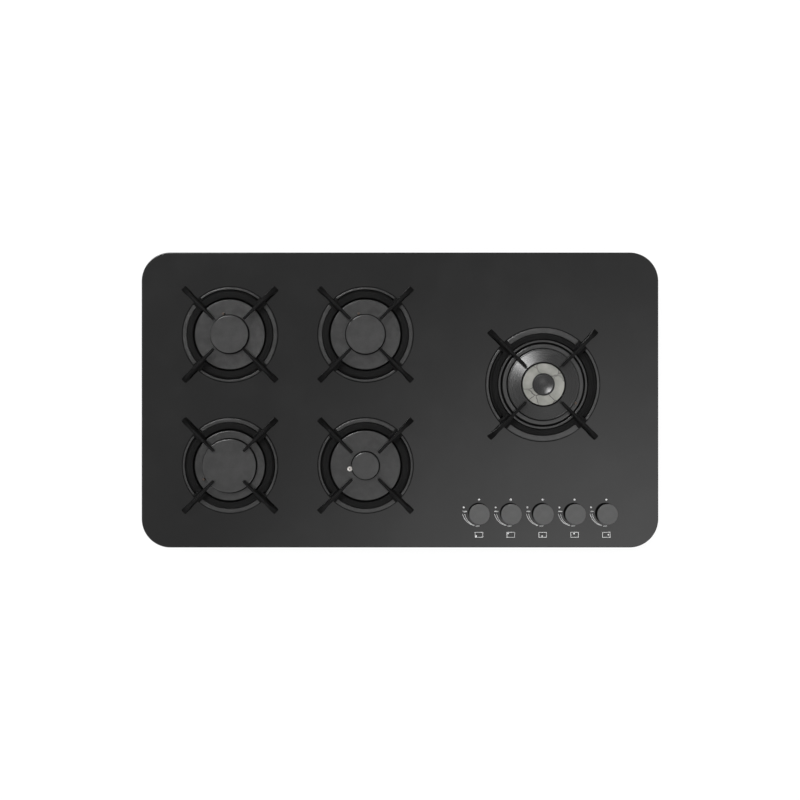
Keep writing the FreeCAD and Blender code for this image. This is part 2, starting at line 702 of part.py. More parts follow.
def make_right_crown():
    """The large spreader: an outer slotted wall, an inner ledge and a bare hub with its own slots."""
    seat = PLATEAU_TOP
    deck = seat + 2
    skirt = RIGHT["cup"] - CUP_WALL - FIT_GAP
    wall = OUTER_CAP_R - CAP_OVERHANG
    inside = wall - CROWN_WALL
    hub_in = HUB_R - HUB_WALL
    tube_in = HUB_BORE - 2
    flange = OUTER_CAP_R - 1.6
    crown = lathe_above([
        (tube_in, -6), (HUB_BORE, -6), (HUB_BORE, seat), (skirt - 2, seat), (skirt - 2, -3), (skirt, -3),
        (skirt, seat), (flange, seat), (flange, deck - 0.5), (wall, deck + 0.5),
        (wall, CROWN_TOP), (inside, CROWN_TOP), (inside, deck), (LEDGE_OUT, deck), (LEDGE_OUT, CROWN_TOP),
        (LEDGE_IN, CROWN_TOP), (LEDGE_IN, deck), (HUB_R, deck), (HUB_R, HUB_TOP - 0.8),
        (HUB_R - 0.8, HUB_TOP), (HUB_BORE, HUB_TOP), (HUB_BORE, HUB_TOP - 2.5), (hub_in, HUB_TOP - 2.5),
        (hub_in, deck), (HUB_BORE, deck), (HUB_BORE, 14), (tube_in, 14),
    ])
    crown = crown.cut(flame_ports(inside, wall, OUTER_PORTS))
    crown = crown.cut(flame_ports(hub_in, HUB_R, HUB_PORTS))
    return moved(crown, centre(RIGHT)).cut(sensor_holes(RIGHT, NOTCH_GAP))


def make_right_cap():
    """The wide ring cap of the large burner, falling outwards as a shallow cone."""
    lip_in = LEDGE_OUT + 0.7
    cap = lathe_above([
        (OUTER_CAP_IN, CROWN_TOP), (lip_in, CROWN_TOP), (lip_in, CROWN_TOP - CAP_LIP),
        (OUTER_LIP_OUT, CROWN_TOP - CAP_LIP), (OUTER_LIP_OUT, CROWN_TOP), (OUTER_CAP_R - 0.5, CROWN_TOP),
        (OUTER_CAP_R, CROWN_TOP + 0.5), (OUTER_CAP_R, CROWN_TOP + 1.8), (OUTER_CAP_R - 1.2, CROWN_TOP + 2.6),
        (OUTER_CAP_IN + 0.8, CAP_TOP + 0.5), (OUTER_CAP_IN, CAP_TOP),
    ])
    return moved(cap, centre(RIGHT))


def make_right_inner_cap():
    """The small dished cap on the hub."""
    plug = HUB_BORE - FIT_GAP
    cap = lathe_above([
        (0, HUB_TOP - 3), (plug, HUB_TOP - 3), (plug, HUB_TOP), (INNER_CAP_R - 0.5, HUB_TOP),
        (INNER_CAP_R, HUB_TOP + 0.5), (INNER_CAP_R, HUB_TOP + 3), (INNER_CAP_R - 1, HUB_TOP + 4),
        (INNER_CAP_R - 3, HUB_TOP + 3.6), (INNER_CAP_R / 2, HUB_TOP + 2.8), (0, HUB_TOP + 2.5),
    ])
    return moved(cap, centre(RIGHT))


# ---------------------------------------------------------------- sparks and flame sensors

def make_ignition_electrodes():
    """A white ceramic tube and its steel pin beside each crown."""
    shapes = []
    for burner in BURNERS.values():
        at = around(burner, burner["spark_r"], burner["spark_angle"])
        ceramic = cylinder(ELECTRODE_R, ELECTRODE_FOOT, above(ELECTRODE_TOP), at)
        if burner["head_r"] > ELECTRODE_R:
            ceramic = ceramic.fuse(cylinder(burner["head_r"], above(PLATEAU_TOP + BOWL_GAP),
                                            above(ELECTRODE_TOP), at))
        shapes.append(ceramic.cut(cylinder(PIN_R + RUNNING_GAP, GLASS_UNDER, above(ELECTRODE_TOP + 1), at)))
        shapes.append(cylinder(PIN_R, GLASS_UNDER, above(PIN_TOP), at))
    return group(shapes)


def sensor_route(name, knob_x):
    """A sensor lead's way through the tray to the magnet unit of its tap, after it leaves its sensor."""
    burner = BURNERS[name]
    sensor_x, sensor_y = around(burner, burner["sensor_r"], burner["sensor_angle"])
    drop = knob_x + SENSOR_DROP_X
    plug = (knob_x + MAGNET_REACH, KNOB_Y, MAGNET_Z)
    if name == "front_centre":
        level = [(sensor_x, FRONT_LANE_Y), (drop, FRONT_LANE_Y)]
        return [(x, y, SENSOR_LEAD_Z) for x, y in level] + [(drop, FRONT_LANE_Y, MAGNET_Z),
                                                            (drop, KNOB_Y, MAGNET_Z), plug]
    if name in SENSOR_LANES:
        side_x, lane_y = SENSOR_LANES[name]
        level = [(side_x, sensor_y), (side_x, lane_y), (drop, lane_y), (drop, KNOB_Y)]
    else:
        level = [(drop, sensor_y), (drop, KNOB_Y)]
    return [(x, y, SENSOR_LEAD_Z) for x, y in level] + [(drop, KNOB_Y, MAGNET_Z), plug]


def make_flame_sensor(name, knob_x):
    """The steel flame sensor beside a crown, with its copper lead down to the tap's magnet unit."""
    burner = BURNERS[name]
    x, y = around(burner, burner["sensor_r"], burner["sensor_angle"])
    tip = cylinder(SENSOR_R, SENSOR_FOOT, above(SENSOR_TOP), (x, y))
    points = [(x, y, SENSOR_FOOT), (x, y, SENSOR_LEAD_Z)] + sensor_route(name, knob_x)
    return [tip, bent_tube(points, SENSOR_LEAD_R, SENSOR_BEND)]


def make_tap_magnet(knob_x):
    """The magnet unit that holds the gas open while its flame sensor is hot."""
    start = PLUG_R_HIGH + 1.4
    unit = Part.makeCylinder(MAGNET_R - RUNNING_GAP, MAGNET_REACH - start,
                             Vector(start, 0, MAGNET_Z), RIGHTWARD)
    nut = Part.makeCylinder(MAGNET_R + 1.0, 4.0, Vector(TAP_R + 3.0, 0, MAGNET_Z), RIGHTWARD)
    return moved(unit.fuse(nut).removeSplitter(), (knob_x, KNOB_Y))


def make_flame_sensors():
    shapes = []
    for name, knob_x in zip(KNOB_ORDER, knob_places()):
        shapes += make_flame_sensor(name, knob_x) + [make_tap_magnet(knob_x)]
    return group(shapes)


def socket_places():
    return [FIRST_SOCKET_X + SOCKET_PITCH * n for n in range(len(LEAD_ORDER))]


def make_spark_generator():
    """The ignition box on the tray floor, with a mounting ear at each end and five sockets on top."""
    body = box(*GENERATOR_X, *GENERATOR_Y, SHEET, GENERATOR_TOP)
    body = body.makeFillet(3.0, upright_edges(body))
    ears = box(GENERATOR_X[0] - 10, GENERATOR_X[1] + 10, GENERATOR_SCREW_Y - 6, GENERATOR_SCREW_Y + 6,
               SHEET, CUP_FLANGE_TOP)
    sockets = [cylinder(SOCKET_R, GENERATOR_TOP - 1, GENERATOR_TOP + SOCKET_HEIGHT, (x, SOCKET_Y))
               for x in socket_places()]
    cuts = [flat_screw((x, GENERATOR_SCREW_Y), RUNNING_GAP) for x in GENERATOR_SCREWS_X]
    return body.fuse([ears] + sockets).removeSplitter().cut(cuts)


def make_ignition_leads():
    """The insulated wires from the spark generator to the electrodes."""
    leads = []
    for name, start_x in zip(LEAD_ORDER, socket_places()):
        burner = BURNERS[name]
        x, y = around(burner, burner["spark_r"], burner["spark_angle"])
        level = [(start_x, y)]
        if name in LEAD_LANES:
            level = [(start_x, LEAD_LANES[name]), (x, LEAD_LANES[name])]
        points = [(start_x, SOCKET_Y, GENERATOR_TOP + SOCKET_HEIGHT), (start_x, SOCKET_Y, LEAD_Z)]
        points += [(a, b, LEAD_Z) for a, b in level + [(x, y)]]
        leads.append(bent_tube(points + [(x, y, ELECTRODE_FOOT)], LEAD_R, LEAD_BEND))
    return group(leads)


# ---------------------------------------------------------------- knobs, spindles and taps

def flatted_bar(radius, flat, low, high):
    """A round bar with one flat along it, facing the rear."""
    return cylinder(radius, low, high).cut(box(-radius - 1, radius + 1, flat, radius + 1, low - 1, high + 1))


def make_knob(x):
    """A plain round knob, hollow below, with a hub that grips the spindle and a pointer groove on top."""
    ceiling = KNOB_TOP - KNOB_ROOF
    inside = KNOB_R - KNOB_WALL
    knob = lathe_above([
        (0, KNOB_HUB_FOOT), (KNOB_HUB_R, KNOB_HUB_FOOT), (KNOB_HUB_R, ceiling), (inside, ceiling),
        (inside, KNOB_BASE), (KNOB_R, KNOB_BASE), (KNOB_R, KNOB_TOP - 0.8),
        (KNOB_R - 0.25, KNOB_TOP - 0.25), (KNOB_R - 0.8, KNOB_TOP), (0, KNOB_TOP),
    ])
    bore = flatted_bar(SPINDLE_R + RUNNING_GAP, SPINDLE_FLAT + RUNNING_GAP,
                       above(KNOB_HUB_FOOT - 1), SPINDLE_HEAD + 0.2)
    pointer = box(-0.5, 0.5, KNOB_R - 7.0, KNOB_R - 2.0, above(KNOB_TOP - 0.4), above(KNOB_TOP + 1))
    return moved(knob.cut([bore, pointer]), (x, KNOB_Y))


def make_spindle(x):
    return moved(flatted_bar(SPINDLE_R, SPINDLE_FLAT, SPINDLE_FOOT, SPINDLE_HEAD), (x, KNOB_Y))


def make_tap_plug(x):
    """The tapered plug that turns in the tap, driven by the spindle's flat."""
    plug = cone(PLUG_R_LOW, PLUG_R_HIGH, PLUG_LOW, PLUG_HIGH)
    bore = flatted_bar(SPINDLE_R + RUNNING_GAP, SPINDLE_FLAT + RUNNING_GAP, PLUG_LOW - 1, PLUG_HIGH + 1)
    gas_way = Part.makeCylinder(TAP_WAY_R, 20.0, Vector(0, 0, GAS_HEIGHT), REARWARD)
    return moved(plug.cut([bore, gas_way]), (x, KNOB_Y))


def make_tap_body(x):
    """A tap's cast body on the gas rail, with its tapered bore, its outlet and its magnet's seat."""
    outlet = Part.makeCylinder(5.0, 9.0, Vector(0, TAP_R - 4.0, GAS_HEIGHT), REARWARD)
    rail_y = MANIFOLD_Y - KNOB_Y
    saddle = box(-8.0, 8.0, TAP_R - 4.0, rail_y, MANIFOLD_Z - 8.0, MANIFOLD_Z + 6.0)
    rail = Part.makeCylinder(MANIFOLD_R + RUNNING_GAP, 40.0, Vector(-20, rail_y, MANIFOLD_Z), RIGHTWARD)
    seat = Part.makeCylinder(MAGNET_R + 1.5, TAP_R + 2.0, Vector(0, 0, MAGNET_Z), RIGHTWARD)
    flare = PLUG_END_GAP * (PLUG_R_HIGH - PLUG_R_LOW) / (PLUG_HIGH - PLUG_LOW)
    bore_top = PLUG_HIGH + PLUG_END_GAP
    bore = cone(PLUG_R_LOW + RUNNING_GAP - flare, PLUG_R_HIGH + RUNNING_GAP + flare,
                PLUG_LOW - PLUG_END_GAP, bore_top)
    stem_way = cylinder(SPINDLE_R + BOWL_GAP, bore_top - 1, TAP_HIGH + 1)
    gas_way = Part.makeCylinder(TAP_WAY_R, 22.0, Vector(0, 4.0, GAS_HEIGHT), REARWARD)
    magnet_way = Part.makeCylinder(MAGNET_R, 10.0, Vector(PLUG_R_HIGH + 1.2, 0, MAGNET_Z), RIGHTWARD)
    body = cylinder(TAP_R, TAP_LOW, TAP_HIGH).fuse([outlet, saddle, seat])
    return moved(body.cut([rail, bore, stem_way, gas_way, magnet_way]).removeSplitter(), (x, KNOB_Y))


def make_ignition_switch(x):
    """The sealed switch on top of a tap, pressed as its knob is pushed."""
    low = TAP_HIGH + 0.2
    body = box(-11.0, 11.0, -10.0, 9.0, low, low + 5.0)
    tab = box(-3.0, 3.0, 9.0, 14.0, low, low + 1.2)
    return moved(body.fuse(tab).cut(cylinder(SPINDLE_R + 1.5, low - 1, low + 6)), (x, KNOB_Y))


def make_knob_seal(x):
    """The rubber bush in the glass, round a spindle."""
    bore = SPINDLE_R + 0.4
    neck = SPINDLE_HOLE_R - 0.1
    seal = lathe([
        (bore, GLASS_UNDER), (neck, GLASS_UNDER), (neck, GLASS_TOP), (neck + 3.6, GLASS_TOP),
        (neck + 3.6, above(1.2)), (neck + 1.1, above(2.4)), (bore, above(2.4)),
    ])
    return moved(seal, (x, KNOB_Y))


# ---------------------------------------------------------------- gas line and inlets

def make_gas_manifold():
    """The steel rail that feeds the taps, run back to the inlet in the rear right corner."""
    points = [
        (knob_places()[0] - 16.0, MANIFOLD_Y, MANIFOLD_Z), (RISER_X, MANIFOLD_Y, MANIFOLD_Z),
        (RISER_X, RISE_START_Y, MANIFOLD_Z), (RISER_X, RISE_END_Y, ELBOW_Z),
        (RISER_X, ELBOW_Y - ELBOW_R, ELBOW_Z),
    ]
    return bent_tube(points, MANIFOLD_R, MANIFOLD_BEND)


def pipe_route(name, x):
    """A gas pipe's way from a tap to its cup. One climbs over the pipes that it crosses."""
    mouth = gas_mouth(BURNERS[name])
    if name == "right":
        return [(x, mouth.y, GAS_HEIGHT)]
    lane = PIPE_LANES[name]
    if name != "front_centre":
        return [(x, lane, GAS_HEIGHT), (mouth.x, lane, GAS_HEIGHT)]
    high = GAS_HEIGHT + PIPE_HUMP
    return [(x, lane, GAS_HEIGHT), (mouth.x + 45.0, lane, GAS_HEIGHT), (mouth.x + 25.0, lane, high),
            (mouth.x, lane, high), (mouth.x, mouth.y + 21.0, high), (mouth.x, mouth.y + 10.0, GAS_HEIGHT)]


def make_gas_pipes():
    """The five aluminium pipes from the taps to the cups."""
    pipes = []
    for name, x in zip(KNOB_ORDER, knob_places()):
        mouth = gas_mouth(BURNERS[name])
        points = [(x, KNOB_Y + TAP_R + 5.0, GAS_HEIGHT)] + pipe_route(name, x) + [(mouth.x, mouth.y, mouth.z)]
        pipes.append(bent_tube(points, PIPE_R, TIGHT_PIPE_BEND if name == "front_centre" else PIPE_BEND))
    return group(pipes)


def make_inlet_elbow():
    """The brass inlet: a threaded stub under the raised corner, a collar, and a block above the tray."""
    x, y = RISER_X, ELBOW_Y
    stub = cylinder(INLET_R, 2.0, 18.0, (x, y))
    collar = hexagon(14.0, 18.0, STEP_FLOOR, (x, y))
    neck = cylinder(ELBOW_R - 1.5, STEP_FLOOR - 1, STEP_FLOOR + 3, (x, y))
    block = cylinder(ELBOW_R, STEP_FLOOR + SHEET + 0.2, GLASS_UNDER - 2, (x, y))
    flat = box(x - 15, x + 15, y - 20, y - ELBOW_R, ELBOW_Z - 12, GLASS_UNDER + 2)
    bore = cylinder(INLET_BORE_R, 1.0, ELBOW_Z, (x, y))
    return stub.fuse([collar, neck, block]).removeSplitter().cut([bore, flat])


def make_cable_gland():
    """The gland for the ignition's mains cable, through the raised corner of the tray."""
    at = (GLAND_X, ELBOW_Y)
    dome = cone(GLAND_R - 2.5, GLAND_R, 20.0, 24.0, at).fuse(cylinder(GLAND_R, 24.0, STEP_FLOOR, at))
    stem = cylinder(GLAND_STEM_R, STEP_FLOOR - 1, 40.0, at)
    nut = hexagon(GLAND_R + 0.5, STEP_FLOOR + SHEET, 36.0, at)
    return dome.fuse([stem, nut]).removeSplitter().cut(cylinder(CABLE_R, 19.0, 41.0, at))


# ---------------------------------------------------------------- all the pieces

def main():
    os.makedirs("parts", exist_ok=True)
    places = knob_places()
    save("glass_panel", make_glass_panel())
    save("base_tray", make_base_tray())
    save("worktop_seal", make_worktop_seal())
    save("worktop_clamps", make_worktop_clamps())
    save("fixing_screws", make_fixing_screws())
    save("bowl_gaskets", make_bowl_gaskets())
    save("burner_cups", group([make_burner_cup(burner) for burner in BURNERS.values()]))
    save("injectors", make_injectors())
    save("ignition_electrodes", make_ignition_electrodes())
    save("flame_sensors", make_flame_sensors())
    save("spark_generator", make_spark_generator())
    save("ignition_leads", make_ignition_leads())
    save("gas_manifold", make_gas_manifold())
    save("gas_pipes", make_gas_pipes())
    save("inlet_elbow", make_inlet_elbow())
    save("cable_gland", make_cable_gland())
    save("tap_bodies", group([make_tap_body(x) for x in places]))
    save("ignition_switches", group([make_ignition_switch(x) for x in places]))
    save("knob_seals", group([make_knob_seal(x) for x in places]))
    for name, x in zip(KNOB_ORDER, places):
        save(f"knob_{name}", make_knob(x))
        save(f"spindle_{name}", make_spindle(x))
        save(f"tap_plug_{name}", make_tap_plug(x))
    for name, burner in BURNERS.items():
        save(f"burner_bowl_{name}", make_bowl(burner))
        save(f"pan_support_{name}", make_pan_support(burner))
        save(f"pan_feet_{name}", make_pan_feet(burner))
    for name, burner in SMALL_BURNERS.items():
        save(f"flame_crown_{name}", make_small_crown(burner))
        save(f"burner_cap_{name}", make_small_cap(burner))
    save("flame_crown_right", make_right_crown())
    save("burner_cap_right", make_right_cap())
    save("burner_cap_right_inner", make_right_inner_cap())


main()
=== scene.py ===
import math

import bmesh
import bpy
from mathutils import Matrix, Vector


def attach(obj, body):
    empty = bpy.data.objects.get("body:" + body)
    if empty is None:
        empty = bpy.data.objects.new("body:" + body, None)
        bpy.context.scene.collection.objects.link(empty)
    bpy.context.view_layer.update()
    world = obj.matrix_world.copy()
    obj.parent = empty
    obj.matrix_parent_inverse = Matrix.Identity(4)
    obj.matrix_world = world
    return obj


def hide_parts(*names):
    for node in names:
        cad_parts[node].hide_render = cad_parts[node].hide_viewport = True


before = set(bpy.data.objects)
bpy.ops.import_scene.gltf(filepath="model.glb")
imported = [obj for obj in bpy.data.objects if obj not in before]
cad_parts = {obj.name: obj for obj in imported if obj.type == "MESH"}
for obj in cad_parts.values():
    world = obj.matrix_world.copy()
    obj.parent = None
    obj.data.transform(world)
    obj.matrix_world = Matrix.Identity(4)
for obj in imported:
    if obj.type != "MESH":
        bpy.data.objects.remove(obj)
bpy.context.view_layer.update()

# ---------------------------------------------------------------- sizes, in millimetres

MM = 0.001
GLASS_TOP = 58.0
GLASS_UNDER = 50.0
GLASS_HALF_LENGTH = 450.0
GLASS_HALF_WIDTH = 257.0
GLASS_CORNER = 50.0
GROOVE_FLOOR = 2.3
RIM_TOP = 4.0
PLATEAU_TOP = 8.0
CROWN_TOP = 21.0
CAP_TOP = 26.0
PAN_TOP = 46.0
RING_TOP = 9.5
SHEET = 1.5
GASKET = 0.8
LIP_TOP = 7.0
BOSS_UNDER = 4.4
FOOT_UNDER = 1.5
FINGER_UNDER = 8.5
FINGER_TIP_UNDER = 38.2
CAP_SOCKET = 2.0
HUB_TOP = 26.0
INNER_CAP_TOP = 30.0
INNER_DISH_FLOOR = 28.5
INNER_CAP_R = 18.2

# A bowl and the support in it, as radii: outer rim, raised middle, its hole in the glass, the support's ring,
# the lips that key it, the bosses under its fingers and the ends of its feet.
SMALL = dict(rim=82.5, plateau=61.0, hole=56.0, ring_in=63.5, ring_out=75.0, lip=76.9, boss=83.5,
             foot=114.5)
LARGE = dict(rim=98.7, plateau=70.3, hole=68.0, ring_in=78.2, ring_out=88.7, lip=92.6, boss=99.5,
             foot=132.0)
# A burner: its place, its bowl, the radii of its cap, its cup and its finger tips, the turn that its lips are
# away from the front and rear, and its spark electrode and flame sensor as (radius, turn).
BURNERS = {
    "rear_left": dict(at=(-296.0, 114.0), bowl=SMALL, cap=33.0, cup=24.5, tip=36.0, wide=0.0,
                      spark=(29.0, 270.0), sensor=(37.5, 107.0)),
    "rear_centre": dict(at=(-60.0, 114.0), bowl=SMALL, cap=34.0, cup=24.5, tip=36.0, wide=0.0,
                        spark=(30.0, 270.0), sensor=(38.0, 108.0)),
    "front_left": dict(at=(-296.0, -114.0), bowl=SMALL, cap=46.5, cup=33.0, tip=36.0, wide=90.0,
                       spark=(42.0, 90.0), sensor=(50.5, 208.0)),
    "front_centre": dict(at=(-60.0, -114.0), bowl=SMALL, cap=23.8, cup=17.0, tip=32.0, wide=90.0,
                         spark=(27.8, 191.6), sensor=(20.8, 270.0)),
    "right": dict(at=(248.5, 27.0), bowl=LARGE, cap=62.0, cup=44.0, tip=44.0, wide=90.0,
                  spark=(57.0, 180.0), sensor=(65.0, -30.0)),
}
FINGER_TURNS = (45.0, 135.0, 225.0, 315.0)
KNOB_ORDER = ("front_left", "rear_left", "front_centre", "rear_centre", "right")
KNOB_Y = -198.0
FIRST_KNOB_X = 137.5
KNOB_PITCH = 55.5
KNOB_R = 18.0
KNOB_TOP = 26.0
KNOB_UNDER = 4.0
KNOB_WALL = 2.5
KNOB_BOSS_R = 7.0
SPINDLE_R = 3.1
SPINDLE_TOP = 20.5
SPINDLE_HOLE_R = 7.0

# ---------------------------------------------------------------- finishes: the shared effects


def add(tree, kind, inputs=None, **settings):
    """One node with its settings, its inputs linked or set."""
    node = tree.nodes.new(kind)
    for name, value in settings.items():
        setattr(node, name, value)
    for name, value in (inputs or {}).items():
        if isinstance(value, bpy.types.NodeSocket):
            tree.links.new(value, node.inputs[name])
        else:
            node.inputs[name].default_value = value
    return node


def calc(tree, operation, *values):
    """The result of one sum on numbers."""
    return add(tree, "ShaderNodeMath", dict(enumerate(values)), operation=operation).outputs[0]


def spread(tree, value, low, high, to_low=0.0, to_high=1.0):
    """A value eased from one range to another."""
    ranged = {"Value": value, "From Min": low, "From Max": high, "To Min": to_low, "To Max": to_high}
    return add(tree, "ShaderNodeMapRange", ranged, interpolation_type="SMOOTHSTEP").outputs["Result"]


def open_group(name, inputs, outputs):
    """A shared effect with named inputs and outputs, ready for its nodes."""
    group = bpy.data.node_groups.new(name, "ShaderNodeTree")
    for label, value in inputs.items():
        socket = group.interface.new_socket(name=label, in_out="INPUT", socket_type="NodeSocketFloat")
        socket.default_value = value
    for label, kind in outputs.items():
        group.interface.new_socket(name=label, in_out="OUTPUT", socket_type="NodeSocket" + kind)
    return group, group.nodes.new("NodeGroupInput").outputs, group.nodes.new("NodeGroupOutput").inputs


def part_position(tree):
    """The place on the piece itself, in metres, which moves with the piece."""
    return add(tree, "ShaderNodeTexCoord").outputs["Object"]


def noise(tree, place, scale, detail):
    """Soft random clouds."""
    return add(tree, "ShaderNodeTexNoise", {"Vector": place, "Scale": scale, "Detail": detail})


def flattened(tree, place):
    """A place with its height taken out."""
    return add(tree, "ShaderNodeVectorMath", {0: place, 1: (1.0, 1.0, 0.0)}, operation="MULTIPLY").outputs[0]


def height_of(tree, place):
    """The upright part of a place or direction."""
    return add(tree, "ShaderNodeSeparateXYZ", {0: place}).outputs["Z"]


def distance_from_axis(tree, flat):
    """How far a flattened place lies from the upright axis."""
    return add(tree, "ShaderNodeVectorMath", {0: flat}, operation="LENGTH").outputs["Value"]


def make_grain():
    """The skin of castings, enamel and rubber: a height to bump with and a tone for the colour."""
    group, given, out = open_group(
        "surface_grain", {"Size": 0.001, "Depth": 1.0}, {"Height": "Float", "Tone": "Float"})
    scale = calc(group, "DIVIDE", 1.0, given["Size"])
    place = part_position(group)
    fine = add(group, "ShaderNodeTexNoise",
               {"Vector": place, "Scale": scale, "Detail": 3.0, "Roughness": 0.6})
    broad_scale = calc(group, "MULTIPLY", scale, 0.06)
    broad = noise(group, place, broad_scale, 2.0)
    group.links.new(calc(group, "MULTIPLY", fine.outputs["Fac"], given["Depth"]), out["Height"])
    broad_part = calc(group, "MULTIPLY", broad.outputs["Fac"], 0.6)
    mixed = calc(group, "MULTIPLY_ADD", fine.outputs["Fac"], 0.4, broad_part)
    group.links.new(spread(group, mixed, 0.3, 0.7), out["Tone"])
    return group


def make_edge_wear():
    """Where handling has rubbed an outer edge, from how far the edge's own rounding turns."""
    group, given, out = open_group("edge_wear", {"Width": 0.0006, "Amount": 0.5}, {"Mask": "Float"})
    rounded = add(group, "ShaderNodeBevel", {"Radius": given["Width"]}, samples=4).outputs["Normal"]
    flat = add(group, "ShaderNodeNewGeometry").outputs["Normal"]
    meet = add(group, "ShaderNodeVectorMath", {0: rounded, 1: flat}, operation="DOT_PRODUCT").outputs["Value"]
    patchy = noise(group, part_position(group), 90.0, 3.0)
    worn = calc(group, "MULTIPLY", spread(group, meet, 0.995, 0.85),
                spread(group, patchy.outputs["Fac"], 0.35, 0.65))
    group.links.new(calc(group, "MULTIPLY", worn, given["Amount"]), out["Mask"])
    return group


def make_dust():
    """A thin film of dust and wiping marks on what faces up."""
    group, given, out = open_group("dust_film", {"Amount": 0.5, "Speck": 0.0012}, {"Mask": "Float"})
    up = add(group, "ShaderNodeSeparateXYZ", {0: add(group, "ShaderNodeNewGeometry").outputs["Normal"]})
    place = part_position(group)
    scale = calc(group, "DIVIDE", 1.0, given["Speck"])
    specks = noise(group, place, scale, 1.0).outputs["Fac"]
    clouds = noise(group, place, 14.0, 4.0).outputs["Fac"]
    film = calc(group, "MULTIPLY_ADD", spread(group, specks, 0.6, 0.72), 0.6,
                calc(group, "MULTIPLY", spread(group, clouds, 0.4, 0.75), 0.4))
    facing = spread(group, up.outputs["Z"], 0.2, 0.9)
    lying = calc(group, "MULTIPLY", film, facing)
    group.links.new(calc(group, "MULTIPLY", lying, given["Amount"]), out["Mask"])
    return group


def make_turning():
    """Fine rings round the piece's own upright axis, as a lathe tool leaves them."""
    group, given, out = open_group(
        "turning_marks", {"Pitch": 0.0004}, {"Height": "Float", "Tone": "Float", "Radius": "Float"})
    radius = distance_from_axis(group, flattened(group, part_position(group)))
    rings = add(group, "ShaderNodeCombineXYZ", {"X": calc(group, "DIVIDE", radius, given["Pitch"])})
    marks = noise(group, rings.outputs[0], 1.0, 2.0)
    group.links.new(marks.outputs["Fac"], out["Height"])
    group.links.new(spread(group, marks.outputs["Fac"], 0.3, 0.7), out["Tone"])
    group.links.new(radius, out["Radius"])
    return group


def make_spangle():
    """The zinc crystals of galvanised sheet."""
    group, given, out = open_group("zinc_spangle", {"Crystal": 0.009}, {"Tone": "Float", "Height": "Float"})
    place = part_position(group)
    scale = calc(group, "DIVIDE", 1.0, given["Crystal"])
    wander = noise(group, place, scale, 2.0)
    bent = add(group, "ShaderNodeVectorMath", {0: wander.outputs["Color"], 1: (0.006, 0.006, 0.006), 2: place},
               operation="MULTIPLY_ADD").outputs[0]
    cells = add(group, "ShaderNodeTexVoronoi", {"Vector": bent, "Scale": scale})
    tone = add(group, "ShaderNodeSeparateColor", {0: cells.outputs["Color"]}).outputs[0]
    group.links.new(tone, out["Tone"])
    group.links.new(calc(group, "MULTIPLY", tone, 0.4), out["Height"])
    return group


GRAIN = make_grain()
WEAR = make_edge_wear()
DUST = make_dust()
TURNING = make_turning()
SPANGLE = make_spangle()


def effect(tree, group, **values):
    """One shared effect placed in a material with its own values."""
    return add(tree, "ShaderNodeGroup", values, node_tree=group).outputs


def blend_colour(tree, amount, first, second):
    """One colour mixed into another by an amount."""
    mixed = add(tree, "ShaderNodeMix", data_type="RGBA")
    for socket, value in ((mixed.inputs[0], amount), (mixed.inputs[6], first), (mixed.inputs[7], second)):
        if isinstance(value, bpy.types.NodeSocket):
            tree.links.new(value, socket)
        else:
            socket.default_value = value
    return mixed.outputs[2]


def grey(level, warm=0.0):
    """A grey, a little warmer or cooler."""
    return (level * (1 + warm), level, level * (1 - warm), 1.0)


def start_finish(name, roughness, metallic=0.0, specular=0.5):
    """A material with its shader and its node tree."""
    finish = bpy.data.materials.new(name)
    finish.use_nodes = True
    tree = finish.node_tree
    shader = tree.nodes["Principled BSDF"]
    shader.inputs["Roughness"].default_value = roughness
    shader.inputs["Metallic"].default_value = metallic
    shader.inputs["Specular IOR Level"].default_value = specular
    return finish, tree, shader


def bump(tree, shader, height, distance):
    """Relief in the shading, as deep as the distance in metres."""
    bumped = add(tree, "ShaderNodeBump", {"Height": height, "Distance": distance, "Strength": 1.0})
    tree.links.new(bumped.outputs["Normal"], shader.inputs["Normal"])


def skin(name, dark, light, roughness, metallic=0.0, specular=0.5, grain=0.0008, relief=0.00003,
         wear=None, worn=None, dust=0.0, dusty=grey(0.3, 0.05), rough_spread=0.06):
    """A cast, moulded or enamelled surface: grain in colour, gloss and relief, rubbed edges, dust."""
    finish, tree, shader = start_finish(name, roughness, metallic, specular)
    grained = effect(tree, GRAIN, Size=grain, Depth=1.0)
    colour = blend_colour(tree, grained["Tone"], dark, light)
    gloss = spread(tree, grained["Tone"], 0.0, 1.0, roughness - rough_spread, roughness + rough_spread)
    if worn:
        rubbed = effect(tree, WEAR, Width=wear, Amount=0.6)["Mask"]
        colour = blend_colour(tree, rubbed, colour, worn)
    if dust:
        film = effect(tree, DUST, Amount=dust)["Mask"]
        colour = blend_colour(tree, film, colour, dusty)
        gloss = calc(tree, "MULTIPLY_ADD", film, 0.3, gloss)
    tree.links.new(colour, shader.inputs["Base Color"])
    tree.links.new(gloss, shader.inputs["Roughness"])
    bump(tree, shader, grained["Height"], relief)
    return finish


def turned_metal(name, dark, light, roughness):
    """Bright metal that a lathe has turned: fine rings in tone, gloss and relief."""
    finish, tree, shader = start_finish(name, roughness, metallic=1.0)
    rings = effect(tree, TURNING, Pitch=0.0004)
    grained = effect(tree, GRAIN, Size=0.004, Depth=1.0)
    tone = calc(tree, "MULTIPLY_ADD", rings["Tone"], 0.5, calc(tree, "MULTIPLY", grained["Tone"], 0.5))
    colour = blend_colour(tree, tone, dark, light)
    rubbed = effect(tree, WEAR, Width=0.0005, Amount=0.4)["Mask"]
    colour = blend_colour(tree, rubbed, colour, light)
    tree.links.new(colour, shader.inputs["Base Color"])
    gloss = spread(tree, tone, 0.0, 1.0, roughness - 0.06, roughness + 0.06)
    tree.links.new(gloss, shader.inputs["Roughness"])
    bump(tree, shader, rings["Height"], 0.00001)
    return finish


